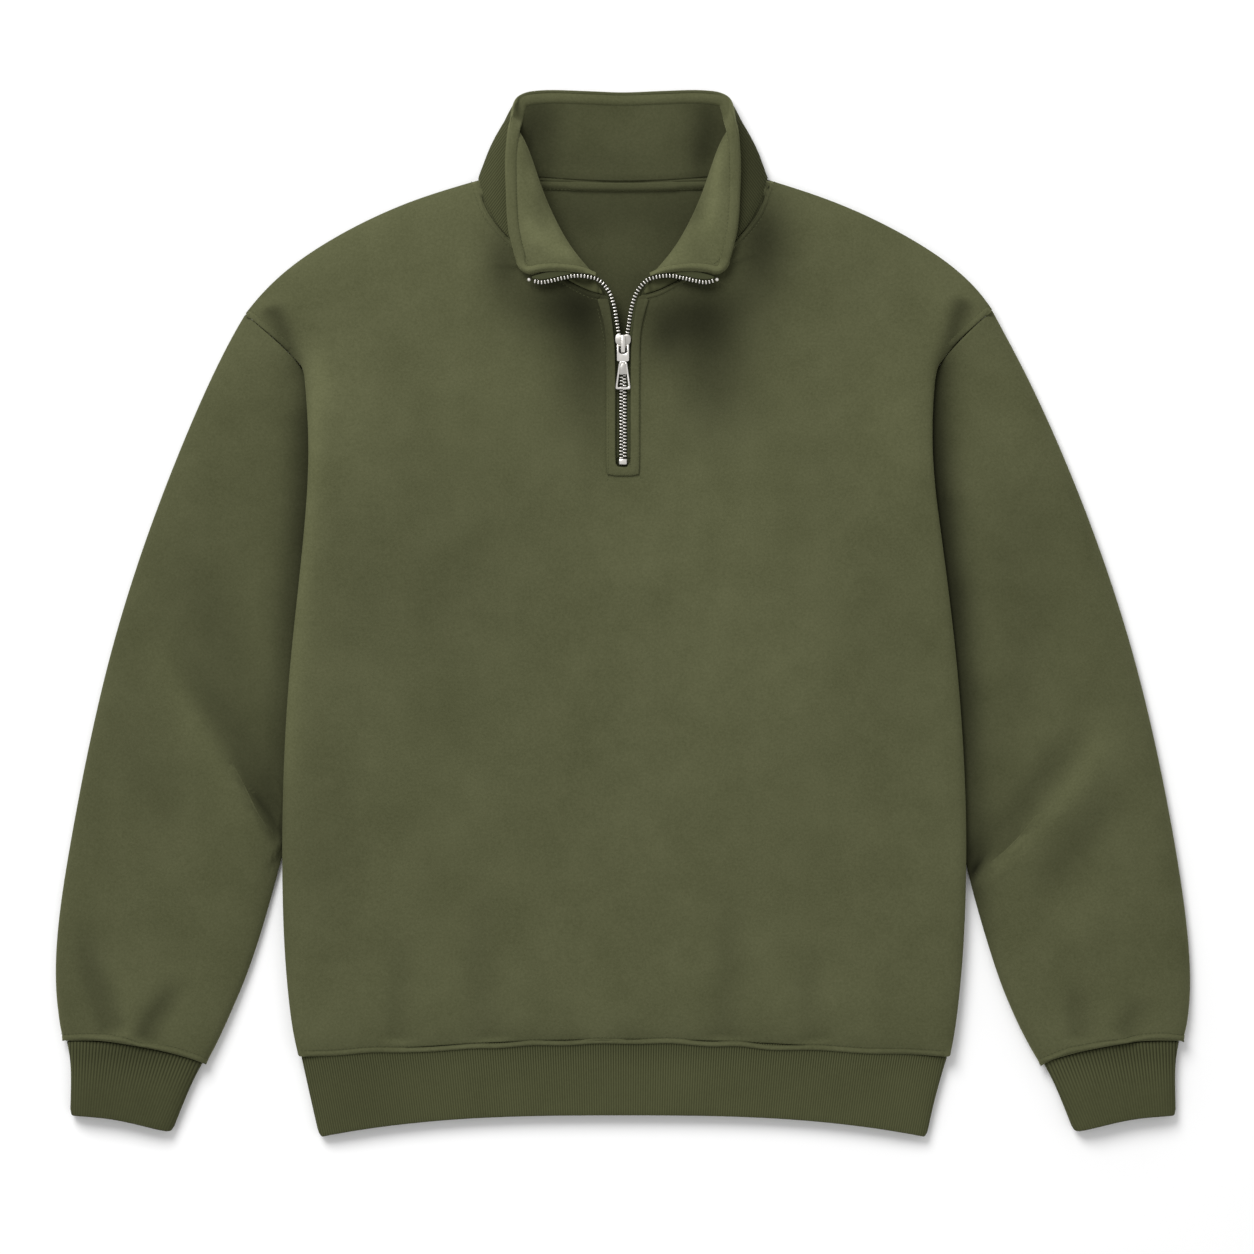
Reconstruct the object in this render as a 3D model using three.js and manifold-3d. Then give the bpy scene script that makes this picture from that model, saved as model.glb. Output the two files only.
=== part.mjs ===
import * as THREE from "three";
import { mergeVertices } from "three/addons/utils/BufferGeometryUtils.js";
import Module from "manifold-3d";

const wasm = await Module();
wasm.setup();

// A half zip sweatshirt laid flat on its back. Millimetres: X across, Y towards the collar, Z up.

const seamGap = 0.3;
const fleece = 2.2; // body and sleeve cloth
const collarPly = 1.8;
const ribWall = 2.6; // cuffs and hem band, a double ply

// Heights above the floor.
const floorRoll = 6; // radius of the rolled edge next to the floor
const crown = 18.5; // body, at its fullest
const neckDip = 3.5; // how much lower the body is at the neck
const hemTop = 12.3; // body at the hem seam
const foldMiddle = 10.6; // outermost line of the body's side fold
const returnBottom = 6.8; // front cloth that turns under at the side fold
const sleeveStack = 6; // the sleeve where the body lies on it
const sleeveCrown = 17;
const cuffTop = 14;
const bandTop = 11.8;

// How far in from an edge the cloth keeps rounding.
const edgeReach = 34;
const foldReach = 22;
const hemReach = 24;
const bandReach = 15;

// Zip.
const slotHalf = 5.75;
const slotBottom = 110.3;
const frameHalf = 12.4; // outer half width of the placket
const frameBottom = 104;
const placketLift = 0.4;
const placketPly = 1.2;
const tapePly = 0.8;
const teethWidth = 2.3;
const teethHeight = 1.6;
const sliderPlate = 1.4;
const pinHeight = 2.55; // pull's pin above the cloth
const pinY = 201.2;
const pinRadius = 0.6;
const pullPly = 1.4;

const hemSeamMiddle = -318.2;
const hemBottomMiddle = -375.2;
const hemCornerX = 243;
const hemFootX = 227.3;
const neckMiddle = 325;

const right = 0;
const left = 1;

// Side fold of the body: half width on each side, and how far the hidden side seam lies inside it.
const sideFold = [
  { y: -332, half: [245, 243], seam: 4.8 },
  { y: -296, half: [252, 251.3], seam: 4.8 },
  { y: -236, half: [257.3, 255.8], seam: 4.8 },
  { y: -176, half: [258.8, 256.3], seam: 4.8 },
  { y: -124, half: [258, 255.8], seam: 14 },
  { y: -64, half: [253.5, 252.8], seam: 24.5 },
  { y: -4, half: [247.5, 246.8], seam: 32 },
  { y: 41, half: [241.2, 240.4], seam: 35.6 },
  { y: 86, half: [234.6, 236.3], seam: 32 },
  { y: 138, half: [231.4, 235.3], seam: 18.5 },
  { y: 165, half: [232.2, 237], seam: 9 },
  { y: 184.4, half: [234.8, 239.2], seam: 4.8 },
];
const underarmY = 41;

// Visible armhole seam, from the shoulder tip to the top of the side fold.
const armholeSeam = [
  { share: 0, x: [277, 283.2], y: [228.8, 226] },
  { share: 0.06, x: [273.2, 279.6], y: [225.2, 222.6] },
  { share: 0.22, x: [264.6, 270.6], y: [217.6, 214.9] },
  { share: 0.45, x: [254.2, 258.8], y: [207.6, 204.6] },
  { share: 0.7, x: [243.6, 248], y: [196.2, 194.2] },
  { share: 1, x: [234.8, 239.2], y: [184.4, 184.4] },
];

// Shoulder edge, from the neck point out to the shoulder tip.
const shoulder = [
  { x: [109.5, 109.5], y: 326 },
  { x: [138, 141.8], y: 318.6 },
  { x: [174, 177.8], y: 303.6 },
  { x: [204.8, 209.3], y: 288.6 },
  { x: [230.3, 234.8], y: 273.6 },
  { x: [250.5, 255], y: 258.6 },
  { x: [265.5, 270], y: 243.6 },
  { x: [277, 283.2], y: 227.4 },
];

// Sleeve outline below the shoulder tip: outer edge on the way down.
const sleeveOuter = [
  { x: [277, 283.2], y: 227.4 },
  { x: [301.5, 306.8], y: 183.6 },
  { x: [329.3, 333], y: 123.6 },
  { x: [353.3, 356.3], y: 63.6 },
  { x: [374.3, 376.5], y: 3.6 },
  { x: [390.8, 392.3], y: -56.4 },
  { x: [404.3, 405], y: -116.4 },
  { x: [415.5, 416.3], y: -176.4 },
  { x: [424.5, 425.3], y: -236.4 },
  { x: [427.2, 428.3], y: -272 },
  { x: [426.4, 425.5], y: -300 },
  { x: [422.8, 420.6], y: -319 },
];

// Sleeve inner edge, from the underarm; it comes out from under the body near y = -185.
const sleeveInner = [
  { x: [205.6, 204.8], y: 41 },
  { x: [215.5, 214.8], y: -4 },
  { x: [229, 228.3], y: -64 },
  { x: [244, 241.8], y: -124 },
  { x: [254.4, 252.6], y: -176 },
  { x: [261, 262.5], y: -206.4 },
  { x: [270, 270], y: -236.4 },
  { x: [279, 279.8], y: -266.4 },
  { x: [289.5, 291.8], y: -296.4 },
  { x: [305.3, 306], y: -326.4 },
  { x: [311.9, 311.3], y: -337 },
];

// Cuff: its four edges, shared by both sides.
const cuffSeam = [
  [420.5, -319.8], [392, -318.9], [368.3, -322.6], [344.3, -326.8], [322.5, -333], [312.6, -337.4],
];
const cuffMouth = [[415.2, -375.4], [384.8, -377.6], [364.5, -382], [348.4, -386], [338, -388]];
const cuffOuter = [[416.9, -321.4], [414.2, -334], [413.8, -354], [415.2, -375.4]];
const cuffInset = 0.025; // share of the seam that the cuff is narrower at each end
const cuffInner = [[314, -338.6], [322.4, -349.4], [329.4, -364], [338, -388]];

// Collar stations round the neck, for one side: neck seam, line of the roll or of the upper collar,
// top edge, radius of the roll, how far the middle bows out and how far the edge is above the seam.
// The first seven lie on the floor.
const collarStations = [
  { seam: [0, 325], roll: [0, 372], edge: [0, 390.4], radius: 0, bow: 0 },
  { seam: [30, 325.9], roll: [28.6, 373], edge: [27.8, 391.2], radius: 0, bow: 0 },
  { seam: [58, 327.6], roll: [53.5, 374.5], edge: [52, 392], radius: 0, bow: 0 },
  { seam: [82, 328.4], roll: [70.5, 375.5], edge: [66.5, 391.4], radius: 0, bow: 0.6 },
  { seam: [99, 328.2], roll: [80.6, 375], edge: [74.6, 389.7], radius: 0, bow: 1.6, height: 2.3 },
  { seam: [107, 327.3], roll: [86, 373.2], edge: [78.6, 387.6], radius: 0, bow: 2.2, height: 3.6 },
  { seam: [109.5, 326], roll: [88, 371], edge: [80.6, 385.6], radius: 0, bow: 2.4, height: 6.4 },
  { seam: [108.9, 320.6], roll: [86.4, 367], edge: [81.6, 380.4], radius: 0, bow: 1.6, rise: 2.6 },
  { seam: [107, 314.5], roll: [79.5, 363.6], edge: [84, 369.4], radius: 3, bow: 1, rise: 6.4 },
  { seam: [102.6, 302.6], roll: [72.8, 351], edge: [86.4, 355], radius: 4, bow: 0, rise: 5.6 },
  { seam: [94, 290], roll: [67.6, 336], edge: [87.6, 338.6], radius: 4.4, bow: 0 },
  { seam: [82, 277.8], roll: [60.8, 315], edge: [87.4, 316.6], radius: 4.6, bow: 0 },
  { seam: [68.5, 267], roll: [52.6, 296.6], edge: [86.6, 297.6], radius: 4.6, bow: 0 },
  { seam: [54, 257.4], roll: [43.2, 278.6], edge: [84.2, 280], radius: 4.6, bow: 0 },
  { seam: [38.5, 248.4], roll: [32.6, 264.6], edge: [80.4, 265], radius: 4.4, bow: 0 },
  { seam: [26, 241.9], roll: [26.4, 258], edge: [77.2, 258], radius: 4.2, bow: 0 },
  { seam: [14.5, 239.4], roll: [22.4, 254.6], edge: [72.6, 254.4], radius: 3.8, bow: 0 },
];
const neckPoint = 6; // the station on the side fold of the collar
const foldClearance = 2.4; // from the body, where the collar folds

// Route of one side of the zip. Heights are from the face of the body: teeth, then tape's far edge.
const zipRoute = [
  { teeth: [1.3, 117, -1.9], tape: [9.5, 117, -3] },
  { teeth: [1.3, 158, -1.9], tape: [9.5, 158, -3] },
  { teeth: [1.3, 200, -1.9], tape: [9.5, 200, -3] },
  { teeth: [3.2, 210.2, -1.9], tape: [10.5, 209.5, -3] },
  { teeth: [4.4, 217.6, -1.9], tape: [11.2, 216.3, -3] },
  { teeth: [5.7, 226.3, -1.8], tape: [12, 224.5, -3] },
  { teeth: [7.4, 233.8, -1.6], tape: [12.6, 231.5, -3.1] },
  { teeth: [9.7, 240.2, -0.9], tape: [12.9, 239.2, -3] },
  { teeth: [13, 245.4, 0.4], tape: [15.6, 244.3, -0.6] },
  { teeth: [17, 249.4, 2.8], tape: [18, 249.2, 1.2] },
  { teeth: [20.6, 251.4, 5.2], tape: [20, 252.9, 4.6] },
  { teeth: [25, 252.3, 6.8], tape: [24.6, 254, 7] },
  { teeth: [29.4, 253, 7], tape: [29.2, 254.4, 7] },
  { teeth: [37, 253.1, 6.7], tape: [37, 255.4, 6.8] },
  { teeth: [45.1, 251.5, 6.3], tape: [45.3, 256.8, 6.5] },
  { teeth: [54, 249.4, 5.6], tape: [54.4, 256.4, 5.8] },
  { teeth: [61.4, 248.3, 4.9], tape: [62, 254.8, 5.1] },
  { teeth: [67.6, 249.6, 4.3], tape: [68.2, 252.8, 4.4] },
];

const colours = {
  body: "#595b40",
  sleeve: "#56593e",
  rib: "#4a4c33",
  facing: "#53563b",
  tape: "#2f3020",
  metal: "#c9c7c0",
};

// ---- small helpers

const lerp = THREE.MathUtils.lerp;
const point = (x, y, z) => new THREE.Vector3(x, y, z);

// 0 at an edge and 1 from `reach` on, rounded like a quarter of an ellipse.
function roll(distance, reach) {
  const t = THREE.MathUtils.clamp(distance / reach, 0, 1);
  return Math.sqrt(1 - (1 - t) * (1 - t));
}

function ease(distance, reach) {
  const t = THREE.MathUtils.clamp(distance / reach, 0, 1);
  return 1 - (1 - t) * (1 - t);
}

// A row of a table between its rows, by the value of y.
function tableAt(table, y, read) {
  const rising = table[0].y < table.at(-1).y;
  const rows = rising ? table : [...table].reverse();
  if (y <= rows[0].y) return read(rows[0]);
  for (let i = 1; i < rows.length; i += 1) {
    if (y <= rows[i].y) {
      const share = (y - rows[i - 1].y) / (rows[i].y - rows[i - 1].y);
      return lerp(read(rows[i - 1]), read(rows[i]), share);
    }
  }
  return read(rows.at(-1));
}

// A smooth curve through flat points, read by its share of length.
function smoothLine(points) {
  const curve = new THREE.SplineCurve(points.map(([x, y]) => new THREE.Vector2(x, y)));
  curve.arcLengthDivisions = 400;
  return (share) => curve.getPointAt(THREE.MathUtils.clamp(share, 0, 1));
}

// Distance from (x, y) to an open line of [x, y] points.
function distanceTo(line, x, y) {
  let best = Infinity;
  for (let i = 1; i < line.length; i += 1) {
    const [ax, ay] = line[i - 1];
    const [bx, by] = line[i];
    const run = (bx - ax) ** 2 + (by - ay) ** 2;
    const t = THREE.MathUtils.clamp(((x - ax) * (bx - ax) + (y - ay) * (by - ay)) / run, 0, 1);
    best = Math.min(best, Math.hypot(x - lerp(ax, bx, t), y - lerp(ay, by, t)));
  }
  return best;
}

// Flat grid between four edges given as lists of points: bottom and top by column, inner and outer
// by row, with u and v the places of the columns and rows between them. A higher `hold` keeps the
// shape of the outer and inner edges nearer to them.
function patch({ bottom, top, inner, outer, u, v, hold = 1 }) {
  const corner = [bottom[0], bottom.at(-1), top[0], top.at(-1)];
  const blend = (axis, row, col) => {
    const s = u[col] ** hold;
    const t = v[row];
    const across = lerp(inner[row][axis], outer[row][axis], s);
    const along = lerp(bottom[col][axis], top[col][axis], t);
    const low = lerp(corner[0][axis], corner[1][axis], s);
    const high = lerp(corner[2][axis], corner[3][axis], s);
    return across + along - lerp(low, high, t);
  };
  return v.map((_, row) => u.map((_, col) => [blend(0, row, col), blend(1, row, col)]));
}

// ---- walls

const step = (grid, row, col, ring) => {
  const width = grid[row].length;
  if (ring) return grid[row][(col + width) % width];
  return grid[row][THREE.MathUtils.clamp(col, 0, width - 1)];
};

// Each point of a grid moved along the surface's normal, by a distance or a function of its row.
// On the grid's rim the move stays over the rim's own line, so that a seam keeps its gap; where
// `level` is true it is horizontal.
function moved(grid, distance, { ring = false, level = () => false } = {}) {
  const distanceAt = typeof distance === "function" ? distance : () => distance;
  const last = grid.length - 1;
  return grid.map((line, row) => line.map((at, col) => {
    const across = step(grid, row, col + 1, ring).clone().sub(step(grid, row, col - 1, ring));
    const up = grid[Math.min(row + 1, last)][col].clone().sub(grid[Math.max(row - 1, 0)][col]);
    const normal = across.clone().cross(up).normalize();
    const onRow = row === 0 || row === last;
    const onColumn = !ring && (col === 0 || col === line.length - 1);
    if (level(row, col)) {
      normal.z = 0;
    } else if (onRow || onColumn) {
      let along = onRow ? across : up;
      if (Math.hypot(along.x, along.y) < 0.2 * along.length()) {
        along = step(grid, row, col + 2, ring).clone().sub(at);
      }
      const side = point(-along.y, along.x, 0).normalize();
      normal.addScaledVector(side, -normal.dot(side));
    }
    return at.clone().addScaledVector(normal.normalize(), distanceAt(row));
  }));
}

// A closed body between two grids; `keep` leaves cells out.
function wall(face, back, { ring = false, keep = () => true } = {}) {
  const rows = face.length - 1;
  const cols = ring ? face[0].length : face[0].length - 1;
  const kept = (row, col) => {
    if (row < 0 || row >= rows) return false;
    if (ring) return keep(row, (col + cols) % cols);
    return col >= 0 && col < cols && keep(row, col);
  };
  const triangles = [];
  const quad = (a, b, c, d) => triangles.push([a, b, c], [a, c, d]);
  for (let row = 0; row < rows; row += 1) {
    for (let col = 0; col < cols; col += 1) {
      if (!kept(row, col)) continue;
      const next = ring ? (col + 1) % cols : col + 1;
      const corners = [[row, col], [row, next], [row + 1, next], [row + 1, col]];
      const outside = corners.map(([r, c]) => face[r][c]);
      const inside = corners.map(([r, c]) => back[r][c]);
      quad(...outside);
      quad(inside[3], inside[2], inside[1], inside[0]);
      const neighbours = [[row - 1, col], [row, col + 1], [row + 1, col], [row, col - 1]];
      neighbours.forEach(([r, c], side) => {
        if (kept(r, c)) return;
        const after = (side + 1) % 4;
        quad(outside[after], outside[side], inside[side], inside[after]);
      });
    }
  }
  return triangles;
}

const mirrored = (triangles) =>
  triangles.map((corners) => corners.map((at) => point(-at.x, at.y, at.z)).reverse());

function named(name, geometry, color, roughness, metalness) {
  geometry.computeVertexNormals();
  const made = new THREE.Mesh(geometry, new THREE.MeshStandardMaterial({ color, roughness, metalness }));
  made.name = name;
  return made;
}

const fromTriangles = (triangles) => new THREE.BufferGeometry().setFromPoints(triangles.flat());
const clothMesh = (name, geometry, colour) => named(name, geometry, colour, 0.95, 0);
const metalMesh = (name, geometry) => named(name, geometry, colours.metal, 0.3, 1);

// ---- outlines and heights that the pieces share

const hemSeamY = (x) => hemSeamMiddle - 13.6 * Math.abs(x / hemCornerX) ** 1.9;
const hemBottomY = (x) => hemBottomMiddle - 16.6 * Math.abs(x / hemFootX) ** 3;
const foldX = (side, y) => tableAt(sideFold, y, (row) => row.half[side]);
const seamX = (side, y) => foldX(side, y) - tableAt(sideFold, y, (row) => row.seam);

const outlines = [right, left].map((side) => {
  const edge = [...shoulder, ...sleeveOuter.slice(1)].map((row) => [row.x[side], row.y]);
  const fold = sideFold.map((row) => [row.half[side], row.y]);
  const sideSeam = sideFold
    .filter((row) => row.y <= underarmY)
    .map((row) => [row.half[side] - row.seam, row.y]);
  const inner = sleeveInner.map((row) => [row.x[side], row.y]);
  return { edge, fold, sideSeam, inner };
});

// Face of the front panel.
function frontTop(side, x, y) {
  const { edge, fold } = outlines[side];
  const toNeck = Math.hypot(x, y - 262);
  let z = crown - neckDip * Math.exp(-((toNeck / 95) ** 2)) - 2 * (x / 250) ** 2;
  z = lerp(foldMiddle, z, roll(distanceTo(fold, x, y), foldReach));
  z = lerp(hemTop, z, ease(y - hemSeamY(x), hemReach));
  return lerp(floorRoll + seamGap / 2, z, roll(distanceTo(edge, x, y), edgeReach));
}

// Underside of the back panel.
function backBottom(side, x, y) {
  const { edge, sideSeam } = outlines[side];
  const shoulderCurl = (floorRoll - seamGap / 2) * (1 - roll(distanceTo(edge, x, y), floorRoll));
  const sideCurl = (returnBottom - 0.5) * (1 - roll(distanceTo(sideSeam, x, y) - 0.6, floorRoll));
  return Math.max(shoulderCurl, sideCurl);
}

const innerMiddle = (y) => lerp(sleeveStack / 2, floorRoll, THREE.MathUtils.smoothstep(-y, 170, 240));

function sleeveTop(side, x, y) {
  const { edge, fold, inner } = outlines[side];
  const outside = x > foldX(side, y) ? distanceTo(fold, x, y) : 0;
  const cap = sleeveStack + (sleeveCrown - sleeveStack) * (1 - Math.exp(-Math.max(0, outside - 5) / 28));
  const middle = innerMiddle(y);
  const z = lerp(middle, cap, roll(distanceTo(inner, x, y), 3 * middle));
  return lerp(floorRoll, z, roll(distanceTo(edge, x, y), edgeReach - 4));
}

function sleeveBottom(side, x, y) {
  const { edge, inner } = outlines[side];
  const middle = innerMiddle(y);
  const outerCurl = floorRoll * (1 - roll(distanceTo(edge, x, y), floorRoll));
  const innerCurl = middle * (1 - roll(distanceTo(inner, x, y), middle));
  return Math.max(outerCurl, innerCurl);
}

// ---- front panel

const shoulderColumns = [0.6, 0.74, 0.86, 0.94, 0.985, 1];
const neckColumns = [0, 0.04, 0.08, 0.12, 0.17, 0.22, 0.27, 0.32, 0.36, 0.4, 0.43, 0.46];
const neckShare = 0.46; // of the hem's half width
const foldTop = 0.88; // share of the side that the fold takes; the armhole has the rest
const slotRow = 0.72;
const sideHold = 2.5;

function shoulderPoints(side, columns) {
  const line = smoothLine(shoulder.map((row) => [row.x[side], row.y]));
  return columns.map((u) => line((u - neckShare) / (1 - neckShare)).toArray());
}

function slotEdge(y) {
  const rows = [
    { y: slotBottom, half: slotHalf },
    { y: 200, half: slotHalf },
    { y: 210.9, half: 7.3 },
    { y: 227, half: 9 },
    { y: 238.3, half: 11.6 },
  ];
  return tableAt(rows, y, (row) => row.half);
}

const armholeRows = armholeSeam.slice(0, -1).reverse().map((row) => 1 - (1 - foldTop) * row.share);

function sideAndArmhole(side, v) {
  if (v <= foldTop) {
    const y = lerp(hemSeamY(hemCornerX), sideFold.at(-1).y, v / foldTop);
    return [foldX(side, y), y];
  }
  const share = (1 - v) / (1 - foldTop);
  const row = armholeSeam.find((entry) => Math.abs(entry.share - share) < 0.001);
  return [row.x[side], row.y[side]];
}

function frontHalf(side) {
  const v = [0, 0.014, 0.045, 0.15, 0.31, 0.47, 0.6, slotRow, 0.8, foldTop, ...armholeRows];
  const u = [...neckColumns, ...shoulderColumns];
  const neckSeam = collarStations.slice(neckPoint).reverse().map((station) => station.seam);
  const top = [[slotEdge(238.3), 238.3], ...neckSeam, ...shoulderPoints(side, shoulderColumns)];
  const bottom = u.map((share) => {
    const x = lerp(slotHalf, foldX(side, hemSeamY(hemCornerX)), share);
    return [x, hemSeamY(x) + seamGap / 2];
  });
  const inner = v.map((share) => {
    const y = share <= slotRow
      ? lerp(hemSeamMiddle, slotBottom, share / slotRow)
      : lerp(slotBottom, 238.3, (share - slotRow) / (1 - slotRow));
    return [slotEdge(Math.max(y, slotBottom)), y];
  });
  const outer = v.map((share) => sideAndArmhole(side, share));
  outer[0][1] += seamGap / 2;
  inner[0][1] += seamGap / 2;
  const flat = patch({ bottom, top, inner, outer, u, v, hold: sideHold });
  return flat.map((line, row) => {
    const points = line.map(([x, y]) => point(x, y, frontTop(side, x, y)));
    const [x, y] = flat[row].at(-1);
    const radius = foldMiddle - returnBottom;
    const under = (inset, z) => {
      const at = x - inset;
      return point(at, row === 0 ? hemSeamY(at) + seamGap / 2 : y, z);
    };
    const turn = (angle) => under(radius * (1 - Math.cos(angle)), foldMiddle - radius * Math.sin(angle));
    points.push(turn(Math.PI / 4), turn(Math.PI / 2));
    points.push(under(Math.max(x - seamX(side, y), radius + 0.7), returnBottom));
    return points;
  });
}

function frontPanel() {
  const halves = [frontHalf(right), frontHalf(left)];
  const width = halves[0][0].length;
  const grid = halves[right].map((line, row) => {
    const flipped = halves[left][row].map((at) => point(-at.x, at.y, at.z)).reverse();
    return [...flipped, ...line];
  });
  const returns = 3;
  const foldRow = 9;
  const slotStart = 7;
  const keep = (row, col) => {
    const fromEdge = Math.min(col, 2 * width - 2 - col);
    if (fromEdge < returns) return row < foldRow;
    return col !== width - 1 || row < slotStart;
  };
  const top = grid.length - 1;
  const shoulderEdge = (row, col) => {
    const place = Math.min(col, 2 * width - 1 - col) - returns;
    return row === top && place >= 0 && place < shoulderColumns.length + 1;
  };
  const back = moved(grid, -fleece, { level: shoulderEdge });
  // Above the fold the cloth ends on the armhole seam, so its rim is the last kept column.
  return wall(grid, uprightRim(grid, back, (row, col) => {
    const fromEdge = Math.min(col, 2 * width - 1 - col);
    const slotRim = (col === width - 1 || col === width) && row >= slotStart;
    return (fromEdge === returns && row > foldRow && row < top) || slotRim;
  }), { keep });
}

// Points of a wall's back that are put straight under its face.
function uprightRim(face, back, chosen) {
  return back.map((line, row) => line.map((at, col) => (
    chosen(row, col) ? point(face[row][col].x, face[row][col].y, face[row][col].z - fleece) : at)));
}

// ---- back panel

function backPanel() {
  const underarm = 0.66;
  const hiddenShares = [0.904, 0.692, 0.346];
  const hiddenRows = hiddenShares.map((share) => lerp(foldTop, underarm, share));
  const v = [0, 0.1, 0.25, 0.4, 0.55, underarm, ...hiddenRows, foldTop, ...armholeRows];
  const neck = collarStations.slice(0, neckPoint + 1).map((station) => station.seam);
  const neckPlaces = [0, 0.12, 0.24, 0.33, 0.4, 0.435, neckShare];
  const shoulderPlaces = [0.6, 0.74, 0.87, 0.96, 0.99, 1];
  const u = [...neckPlaces, ...shoulderPlaces];
  const halves = [right, left].map((side) => {
    const top = [...neck, ...shoulderPoints(side, shoulderPlaces)];
    const bottom = u.map((share) => {
      const x = share * (seamX(side, hemSeamY(hemCornerX)) - 0.6);
      return [x, hemSeamY(x) + seamGap / 2];
    });
    const inner = v.map((share) => [0, lerp(bottom[0][1], neckMiddle, share)]);
    const outer = v.map((share) => {
      if (share > foldTop) return sideAndArmhole(side, share);
      if (share > underarm) return hiddenSeam(side, (foldTop - share) / (foldTop - underarm));
      const y = lerp(bottom.at(-1)[1], underarmY, share / underarm);
      return [seamX(side, y) - 0.6, y];
    });
    const flat = patch({ bottom, top, inner, outer, u, v, hold: sideHold });
    return flat.map((line) => line.map(([x, y]) => point(x, y, backBottom(side, x, y))));
  });
  // The face is the underside, so columns run from +X to -X.
  const grid = halves[right].map((line, row) => {
    const flipped = halves[left][row].slice(1).map((at) => point(-at.x, at.y, at.z));
    return [...[...line].reverse(), ...flipped];
  });
  const top = grid.length - 1;
  const last = grid[0].length - 1;
  const curled = (row, col) => {
    const fromEdge = Math.min(col, last - col);
    const onSide = fromEdge === 0 && row <= 5;
    return onSide || (row === top && fromEdge < shoulderPlaces.length + 1);
  };
  return wall(grid, moved(grid, -fleece, { level: curled }));
}

// Armhole seam where the body hides it, from the top of the side fold to the underarm.
function hiddenSeam(side, share) {
  const foldEnd = sideFold.at(-1).y;
  const inset = (row) => row.seam * THREE.MathUtils.smoothstep(foldEnd - row.y, -1, 40);
  const line = smoothLine([...sideFold].reverse()
    .filter((row) => row.y >= underarmY)
    .map((row) => [row.half[side] - inset(row), row.y]));
  return line(share).toArray();
}

// ---- sleeves

const armPlaces = [0, 0.02, 0.08, 0.2, 0.33, 0.48];
const hiddenPlaces = [0.66, 0.84, 0.95, 0.985, 1];

function sleeveGrid(side) {
  const shift = seamGap + 0.05;
  const u = [...armPlaces, ...hiddenPlaces];
  const v = [0, 0.03, 0.1, 0.21, 0.34, 0.48, 0.62, 0.76, 0.88, 0.97, 1];
  const outerLine = smoothLine(sleeveOuter.map((row) => [row.x[side], row.y]));
  const innerLine = smoothLine(sleeveInner.map((row) => [row.x[side] + shift, row.y]));
  const cuffLine = smoothLine(cuffSeam.map(([x, y]) => [x, y + seamGap]));
  // The armhole end, moved off the body's own seam line.
  const armhole = armholeSeam.map((row) => [row.x[side] + shift * 0.6, row.y[side] - shift * 0.8]);
  const hidden = hiddenPlaces.map((place) => {
    const [x, y] = hiddenSeam(side, (place - armPlaces.at(-1)) / (1 - armPlaces.at(-1)));
    return [x + shift, y];
  });
  const start = [...armhole, ...hidden];
  const end = u.map((share) => cuffLine(share).toArray());
  const outer = v.map((share) => outerLine(share).toArray());
  const inner = v.map((share) => innerLine(share).toArray());
  outer[0] = start[0];
  inner[0] = start.at(-1);
  outer[v.length - 1] = end[0];
  inner[v.length - 1] = end.at(-1);
  const flat = patch({ bottom: start, top: end, inner: outer, outer: inner, u, v });
  const fold = sideFold.at(-1);
  return flat.map((line) => {
    const above = line.map(([x, y], col) => {
      let z = sleeveTop(side, x, y);
      if (col < armPlaces.length) {
        // Level with the front panel along the open part of the seam.
        const [sx, sy] = start[col];
        const fromFold = Math.hypot(sx - fold.half[side], sy - fold.y);
        const wanted = Math.min(frontTop(side, sx, sy), sleeveStack + 0.6 * fromFold);
        const fade = Math.exp(-Math.hypot(x - sx, y - sy) / 26);
        z += (wanted - sleeveTop(side, sx, sy)) * fade * (col === 0 ? 0 : 1);
      }
      return point(x, y, z);
    });
    const below = line.slice(1, -1).reverse().map(([x, y]) => point(x, y, sleeveBottom(side, x, y)));
    above[0].z = floorRoll;
    above[above.length - 1].z = innerMiddle(above.at(-1).y);
    return [...above, ...below];
  });
}

function sleeve(side) {
  const grid = sleeveGrid(side).reverse().map((line) => [...line].reverse());
  return wall(grid, moved(grid, -fleece, { ring: true }), { ring: true });
}

// ---- cuffs and hem band

function tubeRing(line, top, rise) {
  const middle = floorRoll;
  const edgeDistance = (at) => Math.min(at.distanceTo(line[0]), at.distanceTo(line.at(-1)));
  const height = (at) => lerp(middle, top + rise, roll(edgeDistance(at), bandReach));
  const above = line.map((at) => point(at.x, at.y, height(at)));
  const below = line.slice(1, -1).reverse()
    .map((at) => point(at.x, at.y, middle * (1 - roll(edgeDistance(at), floorRoll))));
  return [...above, ...below];
}

function cuff() {
  const u = [0, 0.012, 0.05, 0.13, 0.3, 0.5, 0.7, 0.87, 0.95, 0.988, 1];
  const v = [0, 0.3, 1];
  const seam = smoothLine(cuffSeam);
  const mouth = smoothLine(cuffMouth);
  const bottom = u.map((share) => {
    const at = seam(lerp(cuffInset, 1 - cuffInset, share));
    return [at.x, at.y - seamGap];
  });
  const top = u.map((share) => mouth(share).toArray());
  const outerLine = smoothLine(cuffOuter);
  const innerLine = smoothLine(cuffInner);
  const inner = v.map((share) => outerLine(share).toArray());
  const outer = v.map((share) => innerLine(share).toArray());
  inner[0] = bottom[0];
  outer[0] = bottom.at(-1);
  const flat = patch({ bottom, top, inner, outer, u, v });
  const grid = flat.map((line, row) => tubeRing(line.map(([x, y]) => point(x, y, 0)), cuffTop, -v[row]));
  const turned = [...grid].reverse().map((line) => [...line].reverse());
  return wall(turned, moved(turned, -ribWall, { ring: true }), { ring: true });
}

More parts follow.
